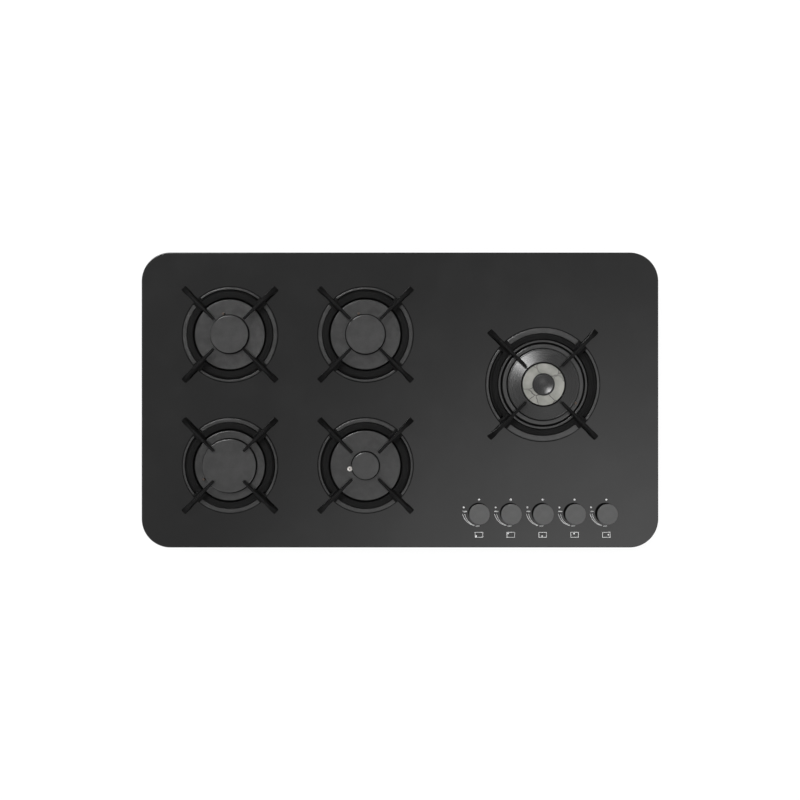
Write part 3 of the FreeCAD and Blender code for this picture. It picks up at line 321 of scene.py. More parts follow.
def in_shade_bands(tree, radius, shade_bands):
    """One where the radius lies in any of the bands of painted shade, given in millimetres, with a soft edge.
    """
    ease = 0.3 * MM
    total = None
    for low, high in shade_bands:
        inside = spread(tree, radius, low * MM - ease, low * MM + ease)
        past = spread(tree, radius, high * MM - ease, high * MM + ease, 1.0, 0.0)
        band = calc(tree, "MULTIPLY", inside, past)
        total = band if total is None else calc(tree, "MAXIMUM", total, band)
    return total


def bowl_finish(name, dark, light):
    """Dark satin enamel on pressed steel."""
    finish, tree, shader = start_finish(name, 0.18)
    grained = effect(tree, GRAIN, Size=0.0007, Depth=1.0)
    colour = blend_colour(tree, grained["Tone"], grey(dark), grey(light))
    rubbed = effect(tree, WEAR, Width=0.0005, Amount=0.35)["Mask"]
    colour = blend_colour(tree, rubbed, colour, grey(0.12))
    film = effect(tree, DUST, Amount=0.05)["Mask"]
    colour = blend_colour(tree, film, colour, grey(0.25, 0.04))
    tree.links.new(colour, shader.inputs["Base Color"])
    tree.links.new(spread(tree, grained["Tone"], 0.0, 1.0, 0.16, 0.21), shader.inputs["Roughness"])
    bump(tree, shader, grained["Height"], 0.00002)
    return finish


def glass_finish():
    """Black ceramic glass: a mirror skin with faint wiping marks over a black body."""
    finish, tree, shader = start_finish("black_ceramic_glass", 0.03)
    place = part_position(tree)
    clouds = noise(tree, place, 9.0, 5.0).outputs["Fac"]
    film = effect(tree, DUST, Amount=0.03, Speck=0.0009)["Mask"]
    body = blend_colour(tree, clouds, grey(0.0022), grey(0.0034))
    tree.links.new(blend_colour(tree, film, body, grey(0.2)), shader.inputs["Base Color"])
    tree.links.new(spread(tree, clouds, 0.3, 0.8, 0.02, 0.07), shader.inputs["Roughness"])
    ripple = noise(tree, place, 5.0, 1.0).outputs["Fac"]
    bump(tree, shader, ripple, 0.00001)
    return finish


def hub_finish():
    """The large crown: cast aluminium, bare and bright on the hub with dark hairlines where soot sits, and
    near-black bands of painted shade in the gaps round its caps.
    """
    finish, tree, shader = start_finish("crown_hub_aluminium", 0.6, 0.5)
    place = part_position(tree)
    grained = effect(tree, GRAIN, Size=0.0012, Depth=1.0)
    at = Vector((BURNERS["right"]["at"][0] * MM, BURNERS["right"]["at"][1] * MM, 0.0))
    off_axis = add(tree, "ShaderNodeVectorMath", {0: place, 1: at}, operation="SUBTRACT").outputs[0]
    flat = flattened(tree, off_axis)
    radius = distance_from_axis(tree, flat)
    height = height_of(tree, place)
    top = spread(tree, height, (GLASS_TOP + HUB_TOP - 0.8) * MM, (GLASS_TOP + HUB_TOP - 0.4) * MM)
    wander = noise(tree, flat, 60.0, 2.0).outputs["Color"]
    bent = add(tree, "ShaderNodeVectorMath", {0: wander, 1: (0.012, 0.012, 0.012), 2: flat},
               operation="MULTIPLY_ADD").outputs[0]
    cells = add(tree, "ShaderNodeTexVoronoi", {"Vector": bent, "Scale": 34.0}, feature="DISTANCE_TO_EDGE")
    hairline = spread(tree, cells.outputs["Distance"], 0.0, 0.045, 1.0, 0.0)
    patch = noise(tree, flat, 26.0, 1.0).outputs["Fac"]
    hairline = calc(tree, "MULTIPLY", hairline, spread(tree, patch, 0.28, 0.5))
    clouds = noise(tree, flat, 45.0, 3.0).outputs["Fac"]
    bright = blend_colour(tree, spread(tree, clouds, 0.3, 0.7),
                          (0.195, 0.195, 0.178, 1.0), (0.27, 0.27, 0.248, 1.0))
    bright = blend_colour(tree, hairline, bright, grey(0.05, 0.05))
    dull = blend_colour(tree, grained["Tone"], grey(0.05), grey(0.09))
    # Painted shade: near-black bands in the gap round the dished cap and under the inner edge of the ring cap.
    dark = in_shade_bands(tree, radius, ((36.2, 41.0), (0.0, 19.5)))
    colour = blend_colour(tree, top, dull, bright)
    colour = blend_colour(tree, dark, colour, grey(0.01))
    tree.links.new(colour, shader.inputs["Base Color"])
    tree.links.new(spread(tree, grained["Tone"], 0.0, 1.0, 0.5, 0.65), shader.inputs["Roughness"])
    bump(tree, shader, grained["Height"], 0.00004)
    return finish


def turned_enamel(name, dark, light, roughness, shade_bands):
    """A dark glossy skin on a turned cap: rings in tone and relief, with black lines of painted shade where it
    meets a gap.
    """
    finish, tree, shader = start_finish(name, roughness)
    rings = effect(tree, TURNING, Pitch=0.0006)
    grained = effect(tree, GRAIN, Size=0.002, Depth=1.0)
    colour = blend_colour(tree, rings["Tone"], dark, light)
    # Painted shade: within the bands the skin turns near black and rougher.
    edge = in_shade_bands(tree, rings["Radius"], shade_bands)
    colour = blend_colour(tree, edge, colour, grey(0.002))
    tree.links.new(colour, shader.inputs["Base Color"])
    gloss = spread(tree, grained["Tone"], 0.0, 1.0, roughness - 0.03, roughness + 0.03)
    tree.links.new(calc(tree, "MULTIPLY_ADD", edge, 0.6, gloss), shader.inputs["Roughness"])
    bump(tree, shader, rings["Height"], 0.000005)
    return finish


def spangled_sheet():
    """Galvanised sheet."""
    finish, tree, shader = start_finish("galvanised_sheet", 0.4, 0.9)
    crystals = effect(tree, SPANGLE, Crystal=0.009)
    colour = blend_colour(tree, crystals["Tone"], grey(0.40, -0.02), grey(0.58, -0.02))
    rubbed = effect(tree, WEAR, Width=0.0008, Amount=0.5)["Mask"]
    tree.links.new(blend_colour(tree, rubbed, colour, grey(0.75)), shader.inputs["Base Color"])
    tree.links.new(spread(tree, crystals["Tone"], 0.0, 1.0, 0.32, 0.48), shader.inputs["Roughness"])
    bump(tree, shader, crystals["Height"], 0.00002)
    return finish


def ceramic_finish():
    """Glazed white ceramic with the steel pin in its middle, told apart by height."""
    finish, tree, shader = start_finish("white_ceramic_and_pin", 0.25)
    grained = effect(tree, GRAIN, Size=0.0006, Depth=1.0)
    height = height_of(tree, part_position(tree))
    pin = spread(tree, height, (GLASS_TOP + 15.02) * MM, (GLASS_TOP + 15.06) * MM)
    glaze = blend_colour(tree, grained["Tone"], grey(0.50, 0.05), grey(0.62, 0.05))
    colour = blend_colour(tree, pin, glaze, grey(0.012))
    tree.links.new(colour, shader.inputs["Base Color"])
    tree.links.new(calc(tree, "MULTIPLY", pin, 0.8), shader.inputs["Metallic"])
    bump(tree, shader, grained["Height"], 0.00001)
    return finish


# Keyed by the record's material slots where a piece has one.
FINISH = {
    "black_glass": glass_finish(),
    "galvanised_steel": spangled_sheet(),
    "seal_rubber": skin("seal_rubber", grey(0.012), grey(0.022), 0.8, specular=0.3, grain=0.0009,
                        relief=0.00005, dust=0.15),
    "zinc_steel": turned_metal("zinc_plated_steel", grey(0.42, -0.03), grey(0.62, -0.03), 0.32),
    "cast_aluminium": skin("cast_aluminium", grey(0.34), grey(0.48), 0.5, metallic=0.85, grain=0.0014,
                           relief=0.00006, wear=0.0008, worn=grey(0.7), dust=0.1),
    "brass": turned_metal("turned_brass", (0.52, 0.34, 0.13, 1.0), (0.72, 0.52, 0.24, 1.0), 0.28),
    "white_ceramic": ceramic_finish(),
    "copper_steel": turned_metal("sensor_metal", (0.05, 0.04, 0.035, 1.0), (0.09, 0.07, 0.06, 1.0), 0.55),
    "white_plastic": skin("white_plastic", grey(0.62, 0.02), grey(0.68, 0.02), 0.45, grain=0.0009,
                          relief=0.00002, wear=0.0006, worn=grey(0.75), dust=0.12),
    "lead_insulation": skin("lead_insulation", grey(0.50, 0.06), grey(0.58, 0.06), 0.5, grain=0.0012,
                            relief=0.00002, dust=0.12),
    "painted_pipe": turned_metal("drawn_aluminium_pipe", grey(0.46), grey(0.60), 0.38),
    "black_plastic": skin("black_plastic", grey(0.018), grey(0.028), 0.5, grain=0.0007, relief=0.00003,
                          wear=0.0006, worn=grey(0.08), dust=0.12),
    "knob_metal": skin("knob_satin", grey(0.049), grey(0.059), 0.34, grain=0.0006, relief=0.00001,
                       wear=0.0005, worn=grey(0.16), dust=0.03),
    "cast_iron": skin("enamelled_cast_iron", grey(0.003), grey(0.006), 0.5, specular=0.07, grain=0.0016,
                      relief=0.00007, wear=0.0009, worn=grey(0.015), dust=0.02, dusty=grey(0.10)),
    "crown_aluminium": skin("crown_aluminium", grey(0.03), grey(0.06), 0.55, metallic=0.6, grain=0.0012,
                            relief=0.00005, wear=0.0006, worn=grey(0.2)),
    "cap_enamel": skin("cap_enamel", grey(0.022), grey(0.029), 0.16, grain=0.0009, relief=0.00002,
                       wear=0.0006, worn=grey(0.09), dust=0.05, dusty=grey(0.2),
                       rough_spread=0.03),
    # The caps' bands are painted shade: at the gaps round them and in the ring cap's fine groove.
    "ring_cap_metal": turned_enamel("ring_cap_enamel", grey(0.010), grey(0.017), 0.22,
                                    ((38.0, 39.4), (59.6, 60.0), (61.3, 63.0))),
    "inner_cap_enamel": turned_enamel("dished_cap_enamel", grey(0.010), grey(0.018), 0.2,
                                      ((17.2, 19.0),)),
    "white_ink": skin("white_ink", grey(0.66), grey(0.78), 0.6, grain=0.0005, relief=0.000005),
    "hub_aluminium": hub_finish(),
    "bowl_enamel": bowl_finish("bowl_enamel", 0.016, 0.023),
    "large_bowl_enamel": bowl_finish("large_bowl_enamel", 0.026, 0.034),
    # Near-black painted shade: the bowls' grooves, the lines round the caps and the feet's outer edges, and
    # each knob below its top.
    "painted_shade_black": skin("painted_shade_black_enamel", grey(0.0012), grey(0.0025), 0.8, specular=0.05, grain=0.0009,
                        relief=0.00002),
}

# ---------------------------------------------------------------- shapes


def crisp(mesh, sharp=35.0):
    """Smooth shading but for sharp edges, with level faces left truly flat."""
    mesh.set_sharp_from_angle(angle=math.radians(sharp))
    for face in mesh.polygons:
        if abs(face.normal.z) > 0.99999:
            face.use_smooth = False


def to_piece(name, shell, finish, sharp=35.0):
    """A mesh piece from its shell, in millimetres."""
    bmesh.ops.scale(shell, vec=(MM, MM, MM), verts=shell.verts)
    bmesh.ops.recalc_face_normals(shell, faces=shell.faces)
    mesh = bpy.data.meshes.new(name)
    shell.to_mesh(mesh)
    shell.free()
    crisp(mesh, sharp)
    piece = bpy.data.objects.new(name, mesh)
    bpy.context.scene.collection.objects.link(piece)
    mesh.materials.append(finish)
    return piece


def settle(piece, at, body, slot, *nodes):
    """Puts a piece at its place, on its body, in place of its CAD nodes."""
    piece.location = (at[0] * MM, at[1] * MM, 0.0)
    bpy.context.view_layer.update()
    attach(piece, body)
    if nodes:
        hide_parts(*nodes)
    return piece


def above(height):
    """A height above the glass, from the part's lowest point."""
    return GLASS_TOP + height


EASE_STEPS = 4
LEAST_EASE = 0.02


def eased(corners):
    """A closed outline of (radius, height, ease): each corner eased by an arc of about that radius."""
    points = []
    for n, (x, z, ease) in enumerate(corners):
        corner = Vector((x, z))
        before = Vector(corners[n - 1][:2]) - corner
        after = Vector(corners[(n + 1) % len(corners)][:2]) - corner
        reach = min(ease, before.length * 0.45, after.length * 0.45)
        if reach < LEAST_EASE:
            points.append((x, z))
            continue
        start = corner + before.normalized() * reach
        end = corner + after.normalized() * reach
        support = min(0.3 * reach, 0.2)
        points.append(tuple(start + before.normalized() * support))
        for step in range(EASE_STEPS + 1):
            t = step / EASE_STEPS
            bent = start * (1 - t) ** 2 + corner * (2 * t * (1 - t)) + end * t ** 2
            points.append(tuple(bent))
        points.append(tuple(end + after.normalized() * support))
    return points


def turned_shell(outline_at, turns):
    """A closed outline of (radius, height) carried round the upright axis, at the turns given."""
    shell = bmesh.new()
    poles = {}
    columns = []
    for turn in turns:
        column = []
        for n, (radius, height) in enumerate(outline_at(turn)):
            if radius < 0.001:
                if n not in poles:
                    poles[n] = shell.verts.new((0.0, 0.0, height))
                column.append(poles[n])
            else:
                angle = math.radians(turn)
                column.append(shell.verts.new((radius * math.cos(angle), radius * math.sin(angle), height)))
        columns.append(column)
    for n, column in enumerate(columns):
        following = columns[(n + 1) % len(columns)]
        for m in range(len(column)):
            k = (m + 1) % len(column)
            ring = [column[m], following[m], following[k], column[k]]
            corners = [v for place, v in enumerate(ring) if v not in ring[:place]]
            if len(corners) > 2 and not (column[m] in poles.values() and column[k] in poles.values()):
                shell.faces.new(corners).smooth = True
    return shell


def blacken(piece, finish, chosen):
    """Gives a second finish to the faces whose (radius, height) in millimetres is chosen."""
    piece.data.materials.append(finish)
    for face in piece.data.polygons:
        if chosen(math.hypot(face.center.x, face.center.y) / MM, face.center.z / MM):
            face.material_index = 1


def even_turns(count):
    """Turns in degrees, evenly round the circle."""
    return [360.0 * n / count for n in range(count)]


def turned_piece(name, corners, finish, count=128):
    """A round piece from its eased outline."""
    outline = eased(corners)
    return to_piece(name, turned_shell(lambda turn: outline, even_turns(count)), finish)


DRILL_LENGTH = 60.0


def drilled(piece, holes):
    """Cuts upright round holes (x, y, radius) through a piece, in its own millimetres."""
    cutters = []
    for x, y, radius in holes:
        drill = bmesh.new()
        bmesh.ops.create_cone(drill, cap_ends=True, segments=32, radius1=radius, radius2=radius,
                              depth=DRILL_LENGTH)
        bmesh.ops.translate(drill, vec=(x, y, above(10.0)), verts=drill.verts)
        cutter = to_piece("drill", drill, FINISH["zinc_steel"])
        cut = piece.modifiers.new("hole", "BOOLEAN")
        cut.operation = "DIFFERENCE"
        cut.solver = "EXACT"
        cut.object = cutter
        cutters.append(cutter)
    bake_modifiers(piece)
    crisp(piece.data)
    for cutter in cutters:
        bpy.data.objects.remove(cutter)
    return piece


def bake_modifiers(piece):
    """Turns a piece's modifiers into its own mesh."""
    bpy.context.view_layer.update()
    shaped = piece.evaluated_get(bpy.context.evaluated_depsgraph_get())
    mesh = bpy.data.meshes.new_from_object(shaped)
    piece.modifiers.clear()
    piece.data = mesh


# ---------------------------------------------------------------- the glass


CORNER_STEPS = 24
EDGE_R = 1.2
EDGE_STEPS = 6
HOLE_CHAMFER = 0.3


def glass_outline(inset):
    """The glass's outline, moved in by the inset."""
    points = []
    reach = GLASS_CORNER - inset
    for x_side, y_side, first in ((1, 1, 0.0), (-1, 1, 90.0), (-1, -1, 180.0), (1, -1, 270.0)):
        for step in range(CORNER_STEPS + 1):
            angle = math.radians(first + 90.0 * step / CORNER_STEPS)
            points.append((x_side * (GLASS_HALF_LENGTH - GLASS_CORNER) + reach * math.cos(angle),
                           y_side * (GLASS_HALF_WIDTH - GLASS_CORNER) + reach * math.sin(angle)))
    return points


def round_outline(at, radius):
    """A circle's points, for a hole in the glass."""
    return [(at[0] + radius * math.cos(math.radians(turn)), at[1] + radius * math.sin(math.radians(turn)))
            for turn in even_turns(96)]


def make_glass():
    """The black glass plate with its ground and polished edge and its ten holes."""
    shell = bmesh.new()
    edge = [(1.0, GLASS_UNDER), (0.3, GLASS_UNDER + 0.3), (0.0, GLASS_UNDER + 1.0)]
    for step in range(EDGE_STEPS + 1):
        angle = math.radians(90.0 * step / EDGE_STEPS)
        edge.append((EDGE_R * (1 - math.cos(angle)), GLASS_TOP - EDGE_R * (1 - math.sin(angle))))
    hole_edge = [(-HOLE_CHAMFER, GLASS_UNDER), (0.0, GLASS_UNDER + HOLE_CHAMFER),
                 (0.0, GLASS_TOP - HOLE_CHAMFER), (-HOLE_CHAMFER, GLASS_TOP)]
    outlines = [[(glass_outline(inset), height) for inset, height in edge]]
    holes = [(b["at"], b["bowl"]["hole"]) for b in BURNERS.values()]
    holes += [((FIRST_KNOB_X + KNOB_PITCH * n, KNOB_Y), SPINDLE_HOLE_R) for n in range(len(KNOB_ORDER))]
    for at, radius in holes:
        outlines.append([(round_outline(at, radius - inset), height) for inset, height in hole_edge])
    top_edges = []
    under_edges = []
    for levels in outlines:
        rows = [[shell.verts.new((x, y, height)) for x, y in points] for points, height in levels]
        for row, following in zip(rows, rows[1:]):
            for n in range(len(row)):
                k = (n + 1) % len(row)
                shell.faces.new((row[n], row[k], following[k], following[n])).smooth = True
        for row, edges in ((rows[0], under_edges), (rows[-1], top_edges)):
            for n in range(len(row)):
                edges.append(shell.edges.get((row[n], row[(n + 1) % len(row)])))
    for edges in (top_edges, under_edges):
        bmesh.ops.triangle_fill(shell, use_beauty=True, use_dissolve=False, edges=edges)
    plate = to_piece("glass_plate", shell, FINISH["black_glass"], sharp=50.0)
    return settle(plate, (0.0, 0.0), "hob", "black_glass", "glass_panel")


# ---------------------------------------------------------------- the bowls

LIP_HALF_TURN = 37.6
KEY_TURN = 39.1
KEY_GAP = 1.7
# The width of the painted shade line round each cap on the raised middle.
SHADE_LINE = 1.7
SPARK_HOLE_R = 3.5
SENSOR_HOLE_R = 2.5


def half_key_gap(sizes):
    """Half the turn that a keyed gap takes at the rim."""
    return math.degrees(KEY_GAP / 2 / sizes["rim"])


def rim_inside(burner, turn):
    """How far out the groove reaches at this turn: round the pan support's lips it is wider."""
    sizes = burner["bowl"]
    off = abs((turn - burner["wide"]) % 180.0 - 90.0)
    half_gap = half_key_gap(sizes)
    if abs(off - KEY_TURN) < half_gap:
        return sizes["rim"] - 1.2
    if off < KEY_TURN:
        return sizes["lip"] + KEY_GAP
    return sizes["ring_out"] + 0.4


def bowl_turns(burner):
    """Even turns, and a close pair at each end of the keyed gaps."""
    half_gap = half_key_gap(burner["bowl"])
    turns = set(even_turns(144))
    for middle in (burner["wide"] + 90.0, burner["wide"] + 270.0):
        for side in (-1, 1):
            for reach in (KEY_TURN - half_gap, KEY_TURN + half_gap):
                for hair in (-0.04, 0.04):
                    turns.add((middle + side * reach + hair) % 360.0)
    return sorted(turns)


def make_bowl(name, burner):
    """The enamelled bowl: foot, rim, groove and raised middle with its holes, and a ridge in the large one."""
    sizes = burner["bowl"]
    rim = sizes["rim"]
    plateau = sizes["plateau"]
    mouth = burner["cup"] + 0.5
    under = PLATEAU_TOP - SHEET
    ridge = []
    if burner["bowl"] is LARGE:
        ridge = [(77.6, GROOVE_FLOOR, 0.0), (77.6, RIM_TOP, 0.6), (73.6, RIM_TOP, 0.6),
                 (73.6, GROOVE_FLOOR, 0.0)]
    outlines = {}

    def outline_at(turn):
        reach = rim_inside(burner, turn)
        if reach not in outlines:
            outlines[reach] = eased([
                (rim + 1.5, above(0.02), 0.0), (rim + 1.5, above(0.5), 0.3), (rim, above(1.0), 0.2),
                (rim, above(2.6), 0.0), (rim - 0.7, above(RIM_TOP), 1.1),
                (reach, above(RIM_TOP), 0.5), (reach, above(GROOVE_FLOOR), 0.0),
                *((r, above(height), ease) for r, height, ease in ridge),
                (plateau, above(GROOVE_FLOOR), 0.0), (plateau, above(PLATEAU_TOP), 1.4),
                (burner["cap"] + SHADE_LINE, above(PLATEAU_TOP), 0.0),
                (mouth, above(PLATEAU_TOP), 0.4), (mouth, above(under), 0.0),
                (plateau - SHEET, above(under), 0.6), (plateau - SHEET, above(GASKET), 0.0),
                (rim - SHEET, above(GASKET), 0.0), (rim - SHEET, above(0.02), 0.0),
            ])
        return outlines[reach]

    enamel = FINISH["large_bowl_enamel" if burner["bowl"] is LARGE else "bowl_enamel"]
    bowl = to_piece("bowl_" + name, turned_shell(outline_at, bowl_turns(burner)), enamel)
    holes = []
    for (radius, turn), size in ((burner["spark"], SPARK_HOLE_R), (burner["sensor"], SENSOR_HOLE_R)):
        angle = math.radians(turn)
        holes.append((radius * math.cos(angle), radius * math.sin(angle), size))
    drilled(bowl, holes)

    # Painted shade: the groove, a line round the cap and the outer edge of the foot take the near-black
    # finish, for the shade in the groove, at the cap's edge and along the glass.
    def in_painted_shade(radius, height):
        in_groove = plateau < radius < rim - 1.3 and height < above(RIM_TOP - 0.2)
        return in_groove or radius < burner["cap"] + SHADE_LINE or radius > rim + 0.2

    blacken(bowl, FINISH["painted_shade_black"], in_painted_shade)
    return settle(bowl, burner["at"], "hob", "bowl_steel", "burner_bowl_" + name)


# ---------------------------------------------------------------- the pan supports

VOXEL = 0.8
ARCH_STEPS = 12
ARCH_RISE = 11.5
FINGER_STEP = 2.0
BOSS_HALF_TURN = 6.0
SECTOR_STEPS = 24
OVERLAP = 1.5


def between(table, at):
    """A value read off a table of (place, value), straight between its rows."""
    for (low, first), (high, second) in zip(table, table[1:]):
        if low <= at <= high:
            return first + (second - first) * (at - low) / max(high - low, 1e-9)
    return table[0][1] if at < table[0][0] else table[-1][1]


def add_prism(shell, low_ring, high_ring):
    """A closed block between two rings of points."""
    low = [shell.verts.new(p) for p in low_ring]
    high = [shell.verts.new(p) for p in high_ring]
    shell.faces.new(list(reversed(low)))
    shell.faces.new(high)
    for n in range(len(low)):
        k = (n + 1) % len(low)
        shell.faces.new((low[n], low[k], high[k], high[n]))


def add_sector(shell, inner, outer, low, high, half_turn, middle):
    """A piece of a ring with upright sides."""
    turns = [math.radians(middle - half_turn + 2 * half_turn * n / SECTOR_STEPS)
             for n in range(SECTOR_STEPS + 1)]
    plan = [(outer * math.cos(t), outer * math.sin(t)) for t in turns]
    plan += [(inner * math.cos(t), inner * math.sin(t)) for t in reversed(turns)]
    add_prism(shell, [(x, y, low) for x, y in plan], [(x, y, high) for x, y in plan])


def finger_tables(burner):
    """A finger's underside, top and half width along its reach from the middle of the burner."""
    sizes = burner["bowl"]
    tip = burner["tip"]
    ring_in = sizes["ring_in"]
    boss = sizes["boss"]
    foot = sizes["foot"]
    toe = foot - 10.0
    jump = ring_in + 0.5
    under = [(tip, FINGER_TIP_UNDER), (tip + 1.0, 37.4), (ring_in - 9.0, 34.5), (ring_in - 3.0, 30.0),
             (jump - 0.8, 22.0), (jump, 8.0), (boss, FINGER_UNDER)]
    for step in range(1, ARCH_STEPS):
        angle = math.pi * step / ARCH_STEPS
        under.append((boss + (toe - 1.0 - boss) * (1 - math.cos(angle)) / 2,
                      FINGER_UNDER + ARCH_RISE * math.sin(angle)))
    under += [(toe - 1.0, 9.0), (toe, FOOT_UNDER), (foot, FOOT_UNDER)]
    top = [(tip, PAN_TOP - 1.1), (tip + 1.4, PAN_TOP), (foot - 28.0, PAN_TOP), (foot - 24.5, 45.2),
           (foot - 21.5, 43.0), (foot - 11.0, 33.0), (foot - 1.4, 13.8), (foot, 10.5)]
    half = [(tip, 2.2), (tip + 1.0, 2.6), (ring_in - 5.0, 2.8), (ring_in + 2.0, 4.0), (boss - 1.0, 4.0),
            (foot - 19.0, 3.6), (foot - 9.0, 5.1), (foot - 0.8, 5.1), (foot, 4.6)]
    return under, top, half


def add_finger(shell, burner, turn):
    """One finger: its cross sections, narrower at the top, set along its reach."""
    under, top, half = finger_tables(burner)
    first = burner["tip"]
    last = burner["bowl"]["foot"]
    reaches = {r for table in (under, top, half) for r, _ in table}
    reaches |= {first + FINGER_STEP * n for n in range(int((last - first) / FINGER_STEP))}
    angle = math.radians(turn)
    along = Vector((math.cos(angle), math.sin(angle), 0.0))
    across = Vector((-math.sin(angle), math.cos(angle), 0.0))
    rings = []
    for reach in sorted(reaches):
        low = above(between(under, reach))
        high = above(between(top, reach))
        wide = between(half, reach)
        narrow = wide * 0.74
        rings.append([along * reach + across * y + Vector((0.0, 0.0, z)) for y, z in (
            (-wide, low), (wide, low), (wide * 0.97, low + (high - low) * 0.5), (narrow, high - 0.5),
            (narrow - 0.6, high), (-narrow + 0.6, high), (-narrow, high - 0.5),
            (-wide * 0.97, low + (high - low) * 0.5))])
    rows = [[shell.verts.new(p) for p in ring] for ring in rings]
    shell.faces.new(rows[0])
    shell.faces.new(list(reversed(rows[-1])))
    for row, following in zip(rows, rows[1:]):
        for n in range(len(row)):
            k = (n + 1) % len(row)
            shell.faces.new((row[n], following[n], following[k], row[k]))


def make_pan_support(name, burner):
    """The cast support: ring, lips, bosses and fingers run into one skin with soft cast corners."""
    sizes = burner["bowl"]
    low = GROOVE_FLOOR + 0.4
    ring = eased([
        (sizes["ring_in"], above(low), 0.6), (sizes["ring_in"], above(RING_TOP), 1.2),
        (sizes["ring_out"], above(RING_TOP), 1.2), (sizes["ring_out"], above(low), 0.6),
    ])
    shell = turned_shell(lambda turn: ring, even_turns(144))
    for middle in (burner["wide"] + 90.0, burner["wide"] + 270.0):
        add_sector(shell, sizes["ring_out"] - OVERLAP, sizes["lip"], above(low), above(LIP_TOP),
                   LIP_HALF_TURN, middle)
    for turn in FINGER_TURNS:
        add_sector(shell, sizes["ring_out"] - OVERLAP, sizes["boss"], above(BOSS_UNDER), above(RING_TOP),
                   BOSS_HALF_TURN, turn)
        add_finger(shell, burner, turn)
    support = to_piece("support_" + name, shell, FINISH["cast_iron"])
    skin_over = support.modifiers.new("cast_skin", "REMESH")
    skin_over.mode = "VOXEL"
    skin_over.voxel_size = VOXEL * MM
    skin_over.use_smooth_shade = True
    soften = support.modifiers.new("soft_corners", "SMOOTH")
    soften.factor = 0.5
    soften.iterations = 3
    thin = support.modifiers.new("lighter_mesh", "DECIMATE")
    thin.ratio = 0.4
    bake_modifiers(support)
    support.data.materials.clear()
    support.data.materials.append(FINISH["cast_iron"])
    return settle(support, burner["at"], "pan_" + name, "cast_iron", "pan_support_" + name)


# ---------------------------------------------------------------- the caps


def make_small_cap(name, burner):
    """A flat round cap with the socket under it that sits on its crown."""
    cap = burner["cap"]
    lip = cap - 6.2
    piece = turned_piece("cap_" + name, [
        (0.0, above(CROWN_TOP), 0.0), (lip - 2.5, above(CROWN_TOP), 0.0),
        (lip - 2.5, above(CROWN_TOP - CAP_SOCKET), 0.3), (lip, above(CROWN_TOP - CAP_SOCKET), 0.3),
        (lip, above(CROWN_TOP), 0.0), (cap, above(CROWN_TOP), 0.7), (cap, above(CAP_TOP), 1.6),
        (0.0, above(CAP_TOP), 0.0),
    ], FINISH["cap_enamel"])
    return settle(piece, burner["at"], "cap_" + name, "cap_enamel", "burner_cap_" + name)


def make_ring_cap(burner):
    """The wide cap of the large burner: a low cone round the hub, with a fine groove near its edge."""
    outer = burner["cap"]
    inner = 38.5
    piece = turned_piece("ring_cap", [
        (inner, above(CROWN_TOP), 0.3), (44.2, above(CROWN_TOP), 0.0),
        (44.2, above(CROWN_TOP - CAP_SOCKET), 0.3), (50.0, above(CROWN_TOP - CAP_SOCKET), 0.3),
        (50.0, above(CROWN_TOP), 0.0), (outer, above(CROWN_TOP), 0.5),
        (outer, above(23.4), 0.9), (60.4, above(23.7), 0.3), (60.0, above(23.5), 0.15),
        (59.6, above(23.8), 0.3), (inner, above(26.4), 0.6),
    ], FINISH["ring_cap_metal"], count=160)
    return settle(piece, burner["at"], "cap_right", "ring_cap_metal", "burner_cap_right")


def make_dished_cap(burner):
    """The small cap on the hub: a low rim round a shallow dish."""
    depth = INNER_CAP_TOP - INNER_DISH_FLOOR
    dish = [(radius, above(INNER_DISH_FLOOR + depth * (radius / 16.6) ** 2), 0.0)
            for radius in (14.0, 10.0, 6.5, 3.5, 0.0)]
    piece = turned_piece("dished_cap", [
        (0.0, above(23.0), 0.0), (11.6, above(23.0), 0.3), (11.6, above(HUB_TOP), 0.0),
        (INNER_CAP_R, above(HUB_TOP), 0.4), (INNER_CAP_R, above(29.6), 0.9),
        (17.0, above(INNER_CAP_TOP), 0.7), *dish,
    ], FINISH["inner_cap_enamel"], count=96)
    return settle(piece, burner["at"], "cap_right_inner", "inner_cap_enamel", "burner_cap_right_inner")


# ---------------------------------------------------------------- the knobs and the print round them


def make_knob(name, x):
    """A knob: a hollow cap on a boss that takes the spindle, with the pointer let into its top."""
    inside = KNOB_R - KNOB_WALL
    crown_under = KNOB_TOP - 3.0
    boss_under = 8.0
    knob = turned_piece("knob_cap_" + name, [
        (SPINDLE_R, above(boss_under), 0.3), (KNOB_BOSS_R, above(boss_under), 0.3),
        (KNOB_BOSS_R, above(crown_under), 0.8), (inside, above(crown_under), 0.8),
        (inside, above(KNOB_UNDER), 0.3), (17.6, above(KNOB_UNDER), 0.4), (KNOB_R, above(8.0), 0.0),
        (KNOB_R, above(KNOB_TOP), 1.0), (0.0, above(KNOB_TOP), 0.0), (0.0, above(SPINDLE_TOP), 0.0),
        (SPINDLE_R, above(SPINDLE_TOP), 0.0),
    ], FINISH["knob_metal"])
    # Painted shade: all of the knob below its top takes the near-black finish, so the side seen from above
    # reads as in shade.
    blacken(knob, FINISH["painted_shade_black"], lambda radius, height: height < above(KNOB_TOP - 0.7))
    pointer = bmesh.new()
    outline = [(-0.5, 11.0), (0.5, 11.0), (0.5, 16.0), (-0.5, 16.0)]
    add_prism(pointer, [(px, py, above(KNOB_TOP - 0.4)) for px, py in outline],
              [(px, py, above(KNOB_TOP - 0.03)) for px, py in outline])
    mark = to_piece("knob_pointer_" + name, pointer, FINISH["black_plastic"])
    settle(knob, (x, KNOB_Y), "knob_" + name, "knob_metal", "knob_" + name)
    settle(mark, (x, KNOB_Y), "knob_" + name, "knob_metal")


